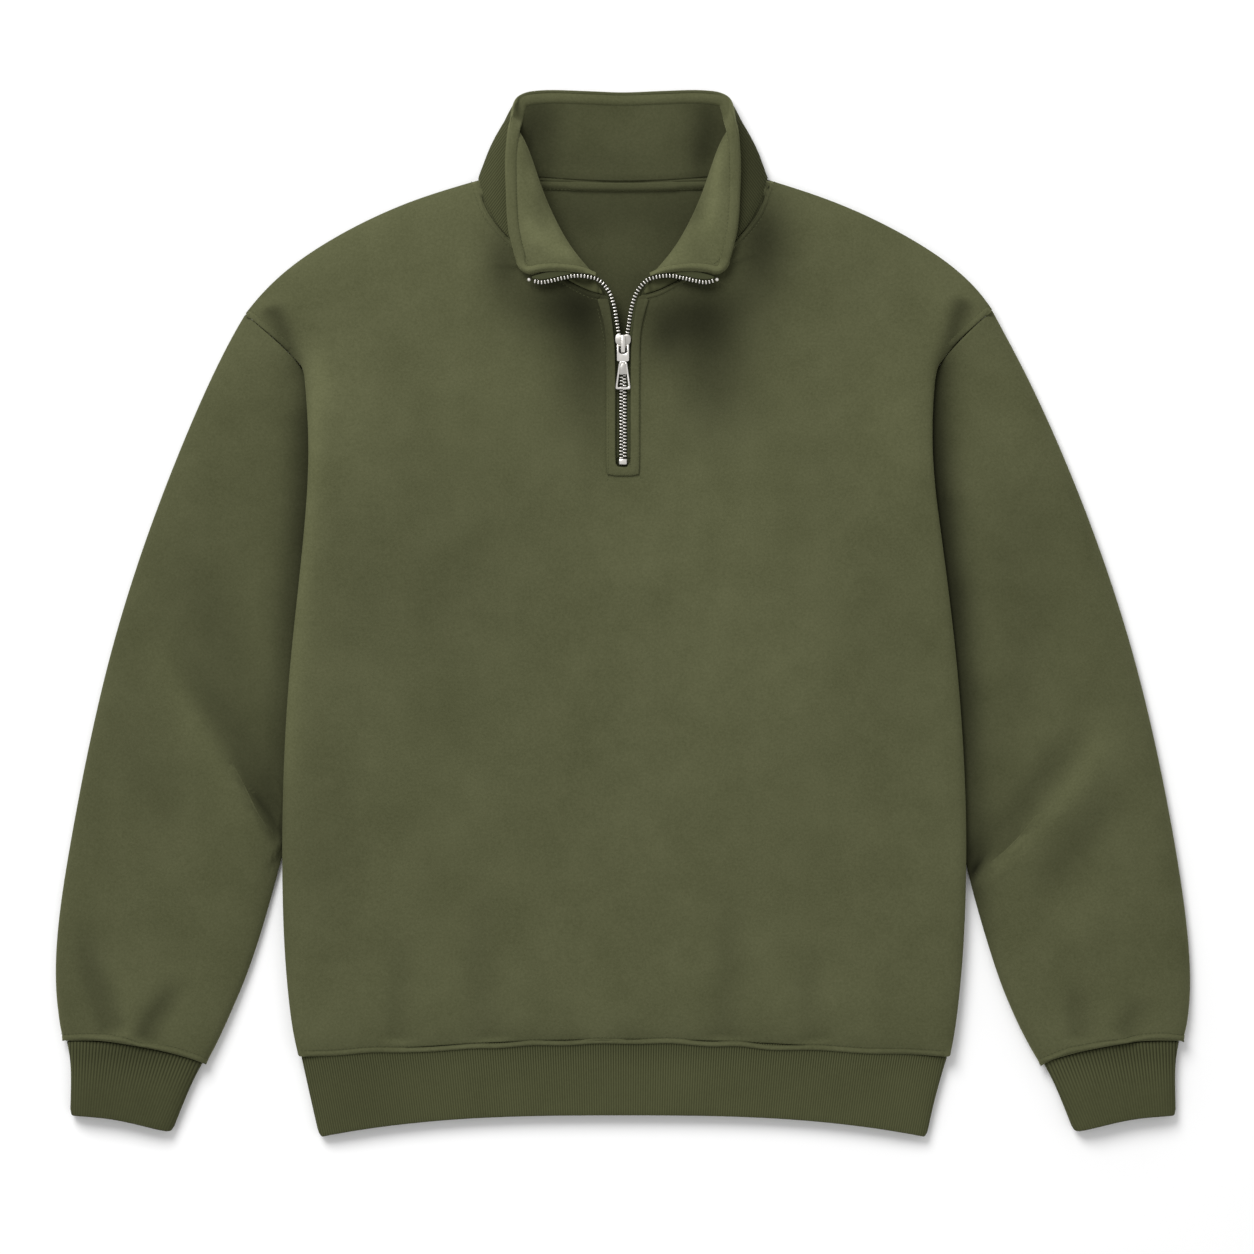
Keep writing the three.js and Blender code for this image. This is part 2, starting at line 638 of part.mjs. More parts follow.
function hemBand() {
  const sides = [
    { y: 0, half: [243.6, 241.8] },
    { y: 0.25, half: [238.6, 238.2] },
    { y: 0.5, half: [234.4, 235] },
    { y: 0.75, half: [231, 232] },
    { y: 1, half: [228.2, 228.2] },
  ];
  const u = [0, 0.003, 0.012, 0.035, 0.1, 0.2, 0.3, 0.4, 0.5];
  const across = [...u, ...[...u].slice(0, -1).reverse().map((share) => 1 - share)];
  const v = [0, 0.1, 0.55, 1];
  const grid = v.map((share) => {
    const halfAt = (side) => tableAt(sides, share, (row) => row.half[side]);
    const ends = [-halfAt(left), halfAt(right)];
    const line = across.map((place) => {
      const x = lerp(ends[0], ends[1], place);
      return point(x, lerp(hemSeamY(x) - seamGap / 2, hemBottomY(x), share), 0);
    });
    return tubeRing(line, bandTop, -share);
  }).reverse();
  return wall(grid, moved(grid, -ribWall, { ring: true }), { ring: true });
}

// ---- collar

const towards = (from, to, length) => {
  const run = Math.hypot(to[0] - from[0], to[1] - from[1]);
  return [lerp(from[0], to[0], length / run), lerp(from[1], to[1], length / run)];
};

// Middle surface at one station: from the neck seam, over the roll, to the top edge.
function collarSection(station, place) {
  const { seam, roll: fold, edge, radius, bow } = station;
  const seamZ = station.height ?? (place < neckPoint ? 2.15 : frontTop(right, ...seam) - fleece / 2);
  const start = towards(seam, fold, Math.abs(place - neckPoint) <= 3 ? foldClearance : 0.55);
  const middle = [lerp(start[0], fold[0], 0.5) + bow, lerp(start[1], fold[1], 0.5) + bow * 0.4];
  const onFloor = place <= neckPoint;
  const lift = onFloor ? 0 : 2 * radius;
  const low = onFloor ? seamZ : seamZ + 0.8;
  const restsOnBody = !onFloor && edge[1] < neckMiddle;
  const rise = onFloor ? 0 : station.rise ?? 5.2;
  const edgeZ = Math.max(seamZ + rise, restsOnBody ? frontTop(right, ...edge) + 2.8 : 0);
  const before = towards(fold, start, Math.max(radius, 2));
  const after = towards(fold, edge, Math.max(radius, 2));
  const lapel = [lerp(after[0], edge[0], 0.5), lerp(after[1], edge[1], 0.5)];
  if (place === collarStations.length - 1) lapel[1] += 3.4;
  if (place === collarStations.length - 2) lapel[1] += 1.6;
  const points = [
    point(...start, seamZ),
    point(...middle, lerp(seamZ, low, 0.7)),
    point(...before, low),
    point(fold[0], fold[1], low + lift / 2),
    point(...after, low + lift),
    point(...lapel, lerp(low + lift, edgeZ, 0.35)),
    point(...edge, edgeZ),
  ];
  const curve = new THREE.CatmullRomCurve3(points, false, "centripetal");
  const places = [0, 1, 2, 2.5, 3, 3.5, 4, 5, 6];
  return places.map((share) => curve.getPoint(share / (points.length - 1)));
}

function collarGrid() {
  const half = collarStations.map(collarSection);
  const flipped = half.slice(1).reverse().map((line) => line.map((at) => point(-at.x, at.y, at.z)));
  return [...flipped, ...half];
}

// A ply of the collar between two distances from its middle surface. Where the collar folds and
// turns down together, the plies are pressed thinner.
function collarLayer(low, high) {
  const grid = collarGrid();
  const last = collarStations.length - 1;
  const pressed = (row) => (
    1 - 0.5 * Math.exp(-(((Math.abs(row - last) - neckPoint - 1) / 1.6) ** 2)));
  const at = (distance) => moved(grid, (row) => distance * pressed(row));
  return fromTriangles(wall(at(high), at(low)));
}

// The outer ply, and the inner ply cleared from it where the folded collar is tight.
function collarPlies() {
  const far = seamGap / 2 + collarPly;
  const outer = collarLayer(seamGap / 2, far);
  const room = collarLayer(0, far + seamGap);
  const inner = solidOf(collarLayer(-far, -seamGap / 2)).subtract(solidOf(room));
  const [largest] = inner.decompose().sort((a, b) => b.volume() - a.volume());
  return [outer, geometryOf(largest)];
}

// ---- strips on the body

function stripWall(rows, thickness) {
  const under = rows.map((line) => line.map((at) => point(at.x, at.y, at.z - thickness)));
  return wall(rows, under);
}

function neckTape() {
  const width = 6.2;
  const insideBack = fleece + seamGap + 1.2;
  const stations = collarStations.slice(0, 4).map((station) => station.seam);
  const line = [...stations.slice(1).reverse().map(([x, y]) => [-x, y]), ...stations];
  const rows = [-width - 0.8, -0.8].map((drop) => line.map(([x, y]) => point(x, y + drop, insideBack)));
  return stripWall(rows, 1.2);
}

function placket() {
  const stops = [
    { y: 236.5, outer: 19.4 },
    { y: 224, outer: 15.4 },
    { y: 210.9, outer: 12.9 },
    { y: 196, outer: frameHalf },
    { y: 160, outer: frameHalf },
    { y: slotBottom, outer: frameHalf, bottom: frameBottom },
  ];
  const half = stops.map(({ y, outer, bottom }) => [
    [slotEdge(Math.max(y, slotBottom)), y],
    [outer, bottom ?? y],
  ]);
  const line = [...half.map(([a, b]) => [[-a[0], a[1]], [-b[0], b[1]]]), ...[...half].reverse()];
  const rows = line.map((pair) => pair.map(([x, y]) => (
    point(x, y, frontTop(right, Math.abs(x), y) + placketLift + placketPly))));
  return stripWall(rows, placketPly);
}

// ---- zip

const bodyFace = (x, y) => frontTop(right, x, Math.min(y, 236));

function zipTape() {
  const rows = zipRoute.map(({ teeth, tape }) => {
    const near = point(teeth[0], teeth[1], bodyFace(teeth[0], teeth[1]) + teeth[2]);
    const far = point(tape[0], tape[1], bodyFace(tape[0], tape[1]) + tape[2]);
    const inset = near.clone().lerp(far, (teethWidth / 2 + 2 * seamGap) / near.distanceTo(far));
    return [inset, far];
  });
  return wall(rows, moved(rows, -tapePly));
}

// A plain bar along the teeth, square to the tape at each row.
function zipTeeth() {
  const rows = zipRoute.map(({ teeth, tape }, index) => {
    const at = point(teeth[0], teeth[1], bodyFace(teeth[0], teeth[1]) + teeth[2]);
    const far = point(tape[0], tape[1], bodyFace(tape[0], tape[1]) + tape[2]);
    const before = zipRoute[Math.max(index - 1, 0)].teeth;
    const after = zipRoute[Math.min(index + 1, zipRoute.length - 1)].teeth;
    const along = point(after[0] - before[0], after[1] - before[1], after[2] - before[2]).normalize();
    const out = far.clone().sub(at);
    if (index < 3) out.z = 0;
    out.addScaledVector(along, -out.dot(along)).normalize();
    const up = out.clone().cross(along).normalize();
    const corner = (a, b) => at.clone()
      .addScaledVector(out, (a * (teethWidth - seamGap / 2)) / 2)
      .addScaledVector(up, (b * teethHeight) / 2);
    return [corner(-1, -1), corner(1, -1), corner(1, 1), corner(-1, 1)];
  });
  return barWall(rows);
}

// A solid bar through rings of four corners, closed at both ends.
function barWall(rings) {
  const triangles = [];
  const quad = (a, b, c, d) => triangles.push([a, b, c], [a, c, d]);
  for (let i = 1; i < rings.length; i += 1) {
    for (let k = 0; k < 4; k += 1) {
      const next = (k + 1) % 4;
      quad(rings[i - 1][k], rings[i][k], rings[i][next], rings[i - 1][next]);
    }
  }
  quad(...rings[0]);
  quad(...[...rings.at(-1)].reverse());
  return triangles;
}

function extruded(outline, depth, holes = []) {
  const shape = new THREE.Shape(outline.map(([x, y]) => new THREE.Vector2(x, y)));
  shape.holes = holes.map((hole) => new THREE.Path(hole.map(([x, y]) => new THREE.Vector2(x, y))));
  return new THREE.ExtrudeGeometry(shape, { depth, bevelEnabled: false, curveSegments: 8 });
}

function solidOf(geometry) {
  const bare = geometry.clone();
  bare.deleteAttribute("normal");
  bare.deleteAttribute("uv");
  const merged = mergeVertices(bare, 1e-4);
  const vertProperties = new Float32Array(merged.attributes.position.array);
  const triVerts = new Uint32Array(merged.index.array);
  return new wasm.Manifold(new wasm.Mesh({ numProp: 3, vertProperties, triVerts }));
}

function geometryOf(solid) {
  const out = solid.getMesh();
  const geometry = new THREE.BufferGeometry();
  geometry.setAttribute("position", new THREE.BufferAttribute(out.vertProperties, 3));
  geometry.setIndex(new THREE.BufferAttribute(out.triVerts, 1));
  geometry.computeVertexNormals();
  return geometry;
}

const joined = (first, second) => geometryOf(solidOf(first).add(solidOf(second)));

const zipFace = bodyFace(0, 203);
const plateBase = zipFace - 0.8;

// Top plate with its two lobes, and the arch over it that holds the pull's pin.
function slider() {
  const half = [[0, 207.2], [1.6, 208.9], [4.4, 208.9], [6, 207.2], [6, 204.4], [4.9, 201], [4.2, 196]];
  const outline = [...half, ...half.slice(1).reverse().map(([x, y]) => [-x, y])];
  const plate = extruded(outline, sliderPlate).translate(0, 0, plateBase);
  // The arch is drawn in Y and height above the plate's base, then extruded across.
  const foot = sliderPlate - 0.3;
  const outside = [[209.6, foot], [209.6, 3.6], [208.2, 5.4], [197.6, 5.4], [196.2, 3.6], [196.2, foot]];
  const inside = [[208, foot], [208, 3.6], [207.4, 4.4], [198.6, 4.4], [198, 3.6], [198, foot]];
  const archWidth = 3.6;
  const arch = extruded([...outside, ...inside.reverse()], archWidth).translate(0, 0, -archWidth / 2);
  arch.applyMatrix4(new THREE.Matrix4().makeBasis(point(0, 1, 0), point(0, 0, 1), point(1, 0, 0)));
  arch.translate(0, 0, plateBase);
  return metalMesh("zip_slider", joined(plate, arch));
}

// A forked tab with a window; its pin passes under the slider's arch.
function pull() {
  const half = [[2.65, 202.2], [3.9, 202.2], [4.5, 201.4], [4.5, 193], [3.6, 190.4], [1.4, 189.9],
    [3.55, 189.3], [5.65, 169.6], [4.8, 168.6]];
  const notch = [[0, 193.2], [1.9, 193.8], [2.65, 195.4]];
  const mirrorAll = (points) => points.map(([x, y]) => [-x, y]).reverse();
  const outline = [...half, ...mirrorAll(half), ...mirrorAll(notch), ...notch.slice(1)];
  const window = [[-3.9, 171.4], [3.9, 171.4], [2.9, 179.6], [-2.9, 179.6]];
  const middle = zipFace + pinHeight;
  const tab = extruded(outline, pullPly, [window]).translate(0, 0, middle - pullPly / 2);
  const pin = new THREE.CylinderGeometry(pinRadius, pinRadius, 6.4, 12).rotateZ(Math.PI / 2);
  pin.translate(0, pinY, middle);
  return metalMesh("zip_pull", joined(tab, pin));
}

function stops() {
  const bottom = new THREE.BoxGeometry(6.1, 4.4, 1.8).translate(0, 114.4, bodyFace(0, 114) - 1.9);
  const end = zipRoute.at(-1).teeth;
  const top = [["right", 1], ["left", -1]].map(([name, sign]) => {
    const place = point(sign * (end[0] + 2.7), end[1] + 0.9, bodyFace(end[0], end[1]) + end[2]);
    return metalMesh(`zip_top_stop_${name}`, new THREE.SphereGeometry(1.5, 14, 10).translate(...place));
  });
  return [metalMesh("zip_bottom_stop", bottom), ...top];
}

// ---- the object

const sidePieces = [[right, "right"], [left, "left"]].flatMap(([side, name]) => {
  const put = (triangles) => fromTriangles(side === left ? mirrored(triangles) : triangles);
  return [
    clothMesh(`sleeve_${name}`, put(sleeve(side)), colours.sleeve),
    clothMesh(`cuff_${name}`, put(cuff()), colours.rib),
    clothMesh(`zip_tape_${name}`, put(zipTape()), colours.tape),
    metalMesh(`zip_teeth_${name}`, put(zipTeeth())),
  ];
});

const [outerPly, innerPly] = collarPlies();

const garment = new THREE.Group();
garment.add(
  clothMesh("back_panel", fromTriangles(backPanel()), colours.body),
  clothMesh("front_panel", fromTriangles(frontPanel()), colours.body),
  ...sidePieces,
  clothMesh("hem_band", fromTriangles(hemBand()), colours.rib),
  clothMesh("collar_outer", outerPly, colours.rib),
  clothMesh("collar_inner", innerPly, colours.facing),
  clothMesh("neck_tape", fromTriangles(neckTape()), colours.facing),
  clothMesh("zip_placket", fromTriangles(placket()), colours.body),
  slider(),
  pull(),
  ...stops(),
);

// The origin is under the middle of the whole outline.
const middle = new THREE.Box3().setFromObject(garment).getCenter(new THREE.Vector3());
garment.position.set(-middle.x, -middle.y, 0);
garment.updateMatrixWorld(true);

export default garment;
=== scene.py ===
import math

import bmesh
import bpy
import numpy as np
from mathutils import Matrix, Vector
from mathutils.bvhtree import BVHTree
from mathutils.kdtree import KDTree


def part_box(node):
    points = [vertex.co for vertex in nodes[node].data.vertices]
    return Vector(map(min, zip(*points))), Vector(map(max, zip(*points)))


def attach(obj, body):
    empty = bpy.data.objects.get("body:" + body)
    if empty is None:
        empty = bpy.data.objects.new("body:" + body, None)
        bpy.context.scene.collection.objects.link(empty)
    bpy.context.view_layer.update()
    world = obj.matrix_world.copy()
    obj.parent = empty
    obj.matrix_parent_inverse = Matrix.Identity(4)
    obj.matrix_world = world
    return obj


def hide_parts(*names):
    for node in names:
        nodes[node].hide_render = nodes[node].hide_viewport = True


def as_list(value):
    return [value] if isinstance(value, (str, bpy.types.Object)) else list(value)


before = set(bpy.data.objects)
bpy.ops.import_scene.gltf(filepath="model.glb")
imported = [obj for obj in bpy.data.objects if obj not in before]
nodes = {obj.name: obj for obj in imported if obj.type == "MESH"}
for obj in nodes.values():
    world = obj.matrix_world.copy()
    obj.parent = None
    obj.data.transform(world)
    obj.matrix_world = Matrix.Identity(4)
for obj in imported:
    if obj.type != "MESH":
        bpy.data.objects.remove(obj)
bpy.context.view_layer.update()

scene = bpy.context.scene
millimetre = 0.001


def mm(value):
    return value * millimetre


# camera, light and floor, in metres, but clothTop and drop in millimetres
view = {"middle": (0.00345, -0.0092), "width": 0.9405, "clothTop": 8, "lens": 150, "sensor": 36,
        "farthest": 30}
light = {
    "world": 0.6,
    "key": {"place": (-1.6, 2.9, 3.3), "power": 190, "size": 2.8},
    "fill": {"place": (2.4, -2.4, 3.4), "power": 10, "size": 3},
}
paper = {"size": 6, "drop": 0.05, "colour": (0.93, 0.93, 0.93), "roughness": 0.9}


def makeCamera():
    data = bpy.data.cameras.new("camera")
    data.lens = view["lens"]
    data.sensor_width = view["sensor"]
    data.clip_end = view["farthest"]
    camera = bpy.data.objects.new("camera", data)
    scene.collection.objects.link(camera)
    distance = view["width"] * view["lens"] / view["sensor"]
    camera.location = (*view["middle"], distance + mm(view["clothTop"]))
    scene.camera = camera


def makeAreaLight(name, place, power, size):
    data = bpy.data.lights.new(name, "AREA")
    data.shape = "DISK"
    data.size = size
    data.energy = power
    lamp = bpy.data.objects.new(name, data)
    scene.collection.objects.link(lamp)
    lamp.location = place
    lamp.rotation_euler = (-Vector(place)).to_track_quat("-Z", "Y").to_euler()


def makeStudio():
    world = bpy.data.worlds.new("studio")
    world.use_nodes = True
    background = world.node_tree.nodes["Background"]
    background.inputs["Color"].default_value = (1, 1, 1, 1)
    background.inputs["Strength"].default_value = light["world"]
    scene.world = world
    for name in ("key", "fill"):
        makeAreaLight(name, **light[name])
    bm = bmesh.new()
    bmesh.ops.create_grid(bm, x_segments=1, y_segments=1, size=paper["size"])
    floor = newPiece("floor", bm, [plainMaterial("floorPaper", paper["colour"], paper["roughness"])])
    floor.location = (0, 0, -mm(paper["drop"]))
    scene.view_settings.view_transform = "Standard"
    scene.view_settings.look = "None"


def addNode(tree, kind, **values):
    node = tree.nodes.new(kind)
    for key, value in values.items():
        if hasattr(node, key):
            setattr(node, key, value)
        else:
            node.inputs[key.replace("_", " ")].default_value = value
    return node


def addMath(tree, operation, first, second=None):
    node = addNode(tree, "ShaderNodeMath", operation=operation)
    for socket, value in zip(node.inputs, (first, second)):
        if value is None:
            continue
        if isinstance(value, bpy.types.NodeSocket):
            tree.links.new(value, socket)
        else:
            socket.default_value = value
    return node.outputs[0]


def newMaterial(name):
    material = bpy.data.materials.new(name)
    material.use_nodes = True
    tree = material.node_tree
    return material, tree, tree.nodes["Principled BSDF"]


def plainMaterial(name, colour, roughness):
    material, _, shader = newMaterial(name)
    shader.inputs["Base Color"].default_value = (*colour, 1)
    shader.inputs["Roughness"].default_value = roughness
    shader.inputs["Specular IOR Level"].default_value = 0.1
    return material


def newGroup(name, inputs, outputs):
    group = bpy.data.node_groups.new(name, "ShaderNodeTree")
    for label, kind, value in inputs:
        socket = group.interface.new_socket(label, in_out="INPUT", socket_type=kind)
        if value is not None:
            socket.default_value = value
    for label in outputs:
        group.interface.new_socket(label, in_out="OUTPUT", socket_type="NodeSocketFloat")
    source = group.nodes.new("NodeGroupInput")
    sink = group.nodes.new("NodeGroupOutput")
    return group, source.outputs, sink.inputs


cloth = {
    # colour on the nap's tips and down in it, and how much the fibres catch the light
    "fleece": {"base": (0.135, 0.139, 0.073), "dark": (0.024, 0.027, 0.008), "fuzz": 0.35},
    "rib": {"base": (0.077, 0.081, 0.038), "dark": (0.012, 0.013, 0.005), "fuzz": 0.2},
    "facing": {"base": (0.135, 0.139, 0.073), "dark": (0.024, 0.027, 0.008), "fuzz": 0.3},
    "tape": {"base": (0.052, 0.056, 0.027), "dark": (0.050, 0.054, 0.026), "fuzz": 0.0},
}
clothFinish = {"roughness": 0.92, "specular": 0.04, "sheenRoughness": 0.5, "sheenLight": 4,
               "bump": 0.75, "bumpDepth": 0.7}
napNoise = {
    # each layer's scale, detail and share of the mottle
    "Broad": (22.0, 3.0, 0.35), "Felt": (560.0, 4.0, 0.4), "Fibre": (1900.0, 2.0, 0.25),
}
napNoiseRoughness = 0.6
# the ribs' colour carries painted shade in their grooves, more where they stand deeper
ribLook = {"sharpness": 0.7, "level": 0.85, "depthDark": 0.5, "mottleLight": 0.4, "napHeight": 0.3}


def makeNapGroup():
    # brushed nap: a broad mottle, a felted middle size and fine fibres
    inputs = [(label, "NodeSocketFloat", scale) for label, (scale, _, _) in napNoise.items()]
    group, given, out = newGroup("nap_and_painted_light", [("Place", "NodeSocketVector", None), *inputs], ["Mottle", "Height"])
    parts = {}
    for label, (_, detail, share) in napNoise.items():
        noise = addNode(group, "ShaderNodeTexNoise", Detail=detail, Roughness=napNoiseRoughness)
        group.links.new(given["Place"], noise.inputs["Vector"])
        group.links.new(given[label], noise.inputs["Scale"])
        parts[label] = addMath(group, "MULTIPLY", noise.outputs["Fac"], share)
    fine = addMath(group, "ADD", parts["Felt"], parts["Fibre"])
    group.links.new(addMath(group, "ADD", parts["Broad"], fine), out["Mottle"])
    group.links.new(fine, out["Height"])
    return group


def makeRibGroup():
    # one knit rib for each whole number along the first coordinate of the piece's own map
    inputs = [("Map", "NodeSocketVector", None), ("Sharpness", "NodeSocketFloat", ribLook["sharpness"])]
    group, given, out = newGroup("ribWave", inputs, ["Wave"])
    split = addNode(group, "ShaderNodeSeparateXYZ")
    group.links.new(given["Map"], split.inputs[0])
    turn = addMath(group, "MULTIPLY", split.outputs["X"], 2 * math.pi)
    wave = addMath(group, "SINE", turn)
    lifted = addMath(group, "MULTIPLY", addMath(group, "ADD", wave, 1.0), 0.5)
    group.links.new(addMath(group, "POWER", lifted, given["Sharpness"]), out["Wave"])
    return group


def clothMaterial(name, look, ribbed=False):
    material, tree, shader = newMaterial(name)
    place = addNode(tree, "ShaderNodeTexCoord")
    nap_and_painted_light = addNode(tree, "ShaderNodeGroup")
    nap_and_painted_light.node_tree = groups["nap_and_painted_light"]
    tree.links.new(place.outputs["Object"], nap_and_painted_light.inputs["Place"])
    colour = addNode(tree, "ShaderNodeMix", data_type="RGBA")
    dark, base = [socket for socket in colour.inputs if socket.type == "RGBA"]
    dark.default_value = (*look["dark"], 1)
    base.default_value = (*look["base"], 1)
    mask = nap_and_painted_light.outputs["Mottle"]
    height = nap_and_painted_light.outputs["Height"]
    if ribbed:
        rib = addNode(tree, "ShaderNodeGroup")
        rib.node_tree = groups["ribWave"]
        ownMap = addNode(tree, "ShaderNodeUVMap", uv_map="ribs")
        tree.links.new(ownMap.outputs["UV"], rib.inputs["Map"])
        depth = addNode(tree, "ShaderNodeAttribute", attribute_name="rib_depth").outputs["Fac"]
        # painted shade in the rib grooves, and darker all over where the ribs stand deeper
        wave = addMath(tree, "MULTIPLY", rib.outputs["Wave"], depth)
        grooved = addMath(tree, "MULTIPLY", depth, ribLook["depthDark"])
        level = addMath(tree, "SUBTRACT", ribLook["level"], grooved)
        mottle = addMath(tree, "ADD", mask, ribLook["mottleLight"])
        shaded = addMath(tree, "MULTIPLY", addMath(tree, "ADD", wave, level), mottle)
        mask = addMath(tree, "MINIMUM", shaded, 1.0)
        height = addMath(tree, "ADD", addMath(tree, "MULTIPLY", height, ribLook["napHeight"]), wave)
    tree.links.new(mask, colour.inputs[0])
    # each point's painted shade and painted light scales the colour
    paintedLight = addNode(tree, "ShaderNodeAttribute", attribute_name="nap_and_painted_light")
    shadedColour = addNode(tree, "ShaderNodeVectorMath", operation="SCALE")
    tree.links.new(colour.outputs[2], shadedColour.inputs[0])
    tree.links.new(paintedLight.outputs["Fac"], shadedColour.inputs["Scale"])
    tree.links.new(shadedColour.outputs[0], shader.inputs["Base Color"])
    relief = mm(clothFinish["bumpDepth"])
    bump = addNode(tree, "ShaderNodeBump", Strength=clothFinish["bump"], Distance=relief)
    tree.links.new(height, bump.inputs["Height"])
    tree.links.new(bump.outputs["Normal"], shader.inputs["Normal"])
    shader.inputs["Roughness"].default_value = clothFinish["roughness"]
    shader.inputs["Specular IOR Level"].default_value = clothFinish["specular"]
    shader.inputs["Sheen Weight"].default_value = look["fuzz"]
    shader.inputs["Sheen Roughness"].default_value = clothFinish["sheenRoughness"]
    tint = [clothFinish["sheenLight"] * part for part in look["base"]]
    shader.inputs["Sheen Tint"].default_value = (*tint, 1)
    return material


# zipShade is near-black metal, a painted shade under the slider's bridge
metals = {"zipNickel": {"colour": (0.84, 0.81, 0.76), "roughness": 0.24, "metallic": 0.85},
          "zipShade": {"colour": (0.03, 0.03, 0.027), "roughness": 0.5, "metallic": 0.3},
          "zipPlain": {"colour": (0.60, 0.58, 0.54), "roughness": 0.34, "metallic": 0.9}}
wear = {"scale": 900.0, "detail": 3.0, "spread": 0.16}


def metalMaterial(name):
    metal = metals[name]
    material, tree, shader = newMaterial(name)
    place = addNode(tree, "ShaderNodeTexCoord")
    noise = addNode(tree, "ShaderNodeTexNoise", Scale=wear["scale"], Detail=wear["detail"])
    tree.links.new(place.outputs["Object"], noise.inputs["Vector"])
    uneven = addMath(tree, "MULTIPLY", noise.outputs["Fac"], wear["spread"])
    rough = addMath(tree, "ADD", uneven, metal["roughness"] - wear["spread"] / 2)
    tree.links.new(rough, shader.inputs["Roughness"])
    shader.inputs["Base Color"].default_value = (*metal["colour"], 1)
    shader.inputs["Metallic"].default_value = metal["metallic"]
    return material


def newPiece(name, bm, materials):
    mesh = bpy.data.meshes.new(name)
    bm.to_mesh(mesh)
    bm.free()
    mesh.shade_smooth()
    for material in materials:
        mesh.materials.append(material)
    piece = bpy.data.objects.new(name, mesh)
    scene.collection.objects.link(piece)
    return piece


def coordinates(piece):
    flat = np.empty(len(piece.data.vertices) * 3)
    piece.data.vertices.foreach_get("co", flat)
    return flat.reshape(-1, 3)


def setCoordinates(piece, points):
    piece.data.vertices.foreach_set("co", points.ravel())
    piece.data.update()


def settle(piece):
    # the modifiers' result becomes the mesh
    result = bpy.data.meshes.new_from_object(piece.evaluated_get(bpy.context.evaluated_depsgraph_get()))
    piece.modifiers.clear()
    piece.data = result
    result.shade_smooth()


def smoothPath(points, steps=8):
    # a curve through a few points
    points = [Vector(point) for point in points]
    ends = [2 * points[0] - points[1], *points, 2 * points[-1] - points[-2]]
    path = []
    for a, b, c, d in zip(ends, ends[1:], ends[2:], ends[3:]):
        for step in range(steps):
            t = step / steps
            path.append(0.5 * (2 * b + (c - a) * t + (2 * a - 5 * b + 4 * c - d) * t**2
                               + (3 * b - a - 3 * c + d) * t**3))
    return [*path, points[-1]]


def alongPath(points, path):
    # each point's signed distance to a path in plan, positive on its left, and its share along it
    best = np.full(len(points), np.inf)
    signed = np.zeros(len(points))
    share = np.zeros(len(points))
    total = sum((b - a).length for a, b in zip(path, path[1:]))
    walked = 0
    for a, b in zip(path, path[1:]):
        start = np.array(a[:2])
        way = np.array(b[:2]) - start
        length = np.linalg.norm(way)
        offset = points[:, :2] - start
        t = np.clip(offset @ way / length**2, 0, 1)
        away = offset - t[:, None] * way
        distance = np.linalg.norm(away, axis=1)
        closer = distance < best
        best[closer] = distance[closer]
        side = np.where(way[0] * offset[:, 1] - way[1] * offset[:, 0] >= 0, 1, -1)
        signed[closer] = (side * distance)[closer]
        share[closer] = ((walked + t * length) / total)[closer]
        walked += length
    return signed, share


def ease(value, low, high):
    t = np.clip((value - low) / (high - low), 0, 1)
    return t * t * (3 - 2 * t)


def bell(distance, width):
    return np.exp(-((distance / width) ** 2))


# how gradually the folds reach the upper ply only, and the least room they keep above the lower one
plies = {"blend": 2, "leastRoom": 0.2}


def pressFolds(piece, folds, plyHeight):
    # soft troughs and ridges: each fold has its path, and (offset, width, depth) bells beside it; its
    # (offset, width, tone) bells are painted shade and painted light
    points = coordinates(piece)
    lift = np.zeros(len(points))
    tone = np.zeros(len(points))
    for fold in folds:
        signed, share = alongPath(points / millimetre, smoothPath(fold["path"]))
        rise, fall = fold["fade"]
        fade = ease(share, 0, rise) * (1 - ease(share, 1 - fall, 1))
        for offset, width, depth in fold["bells"]:
            lift += fade * depth * bell(signed - offset, width)
        for offset, width, dark in fold.get("tones", []):
            tone += fade * dark * bell(signed - offset, width)
    topPly = ease(points[:, 2] / millimetre, plyHeight - plies["blend"], plyHeight + plies["blend"])
    room = np.clip(points[:, 2] / millimetre - plyHeight, plies["leastRoom"], None)
    lift = np.where(lift < 0, -room * np.tanh(-lift / room), lift)
    points[:, 2] += mm(lift) * topPly
    setCoordinates(piece, points)
    return tone * topPly


def softPatches(piece, spots):
    # each spot: centre x, y, half widths along x and y, tone; painted shade below 0, painted light above
    points = coordinates(piece) / millimetre
    tone = np.zeros(len(points))
    for x, y, wide, tall, dark in spots:
        tone += dark * bell(points[:, 0] - x, wide) * bell(points[:, 1] - y, tall)
    return tone


def calmSpot(piece, x, y, radius, rounds):
    # evens out a small kink left by the plain solid
    bm = bmesh.new()
    bm.from_mesh(piece.data)
    centre = Vector((mm(x), mm(y)))
    verts = [vert for vert in bm.verts if (vert.co.xy - centre).length < mm(radius) and not vert.is_boundary]
    for _ in range(rounds):
        bmesh.ops.smooth_vert(bm, verts=verts, factor=0.5, use_axis_x=True, use_axis_y=True, use_axis_z=True)
    bm.to_mesh(piece.data)
    bm.free()


def calmed(heights, rounds):
    for _ in range(rounds):
        padded = np.pad(heights, 1, mode="edge")
        heights = (padded[:-2] + 2 * heights + padded[2:]) / 4
    return heights


def highest(heights, reach):
    padded = np.pad(heights, reach, mode="edge")
    return np.max([padded[start:start + len(heights)] for start in range(2 * reach + 1)], axis=0)


cornerSpread = math.radians(50)


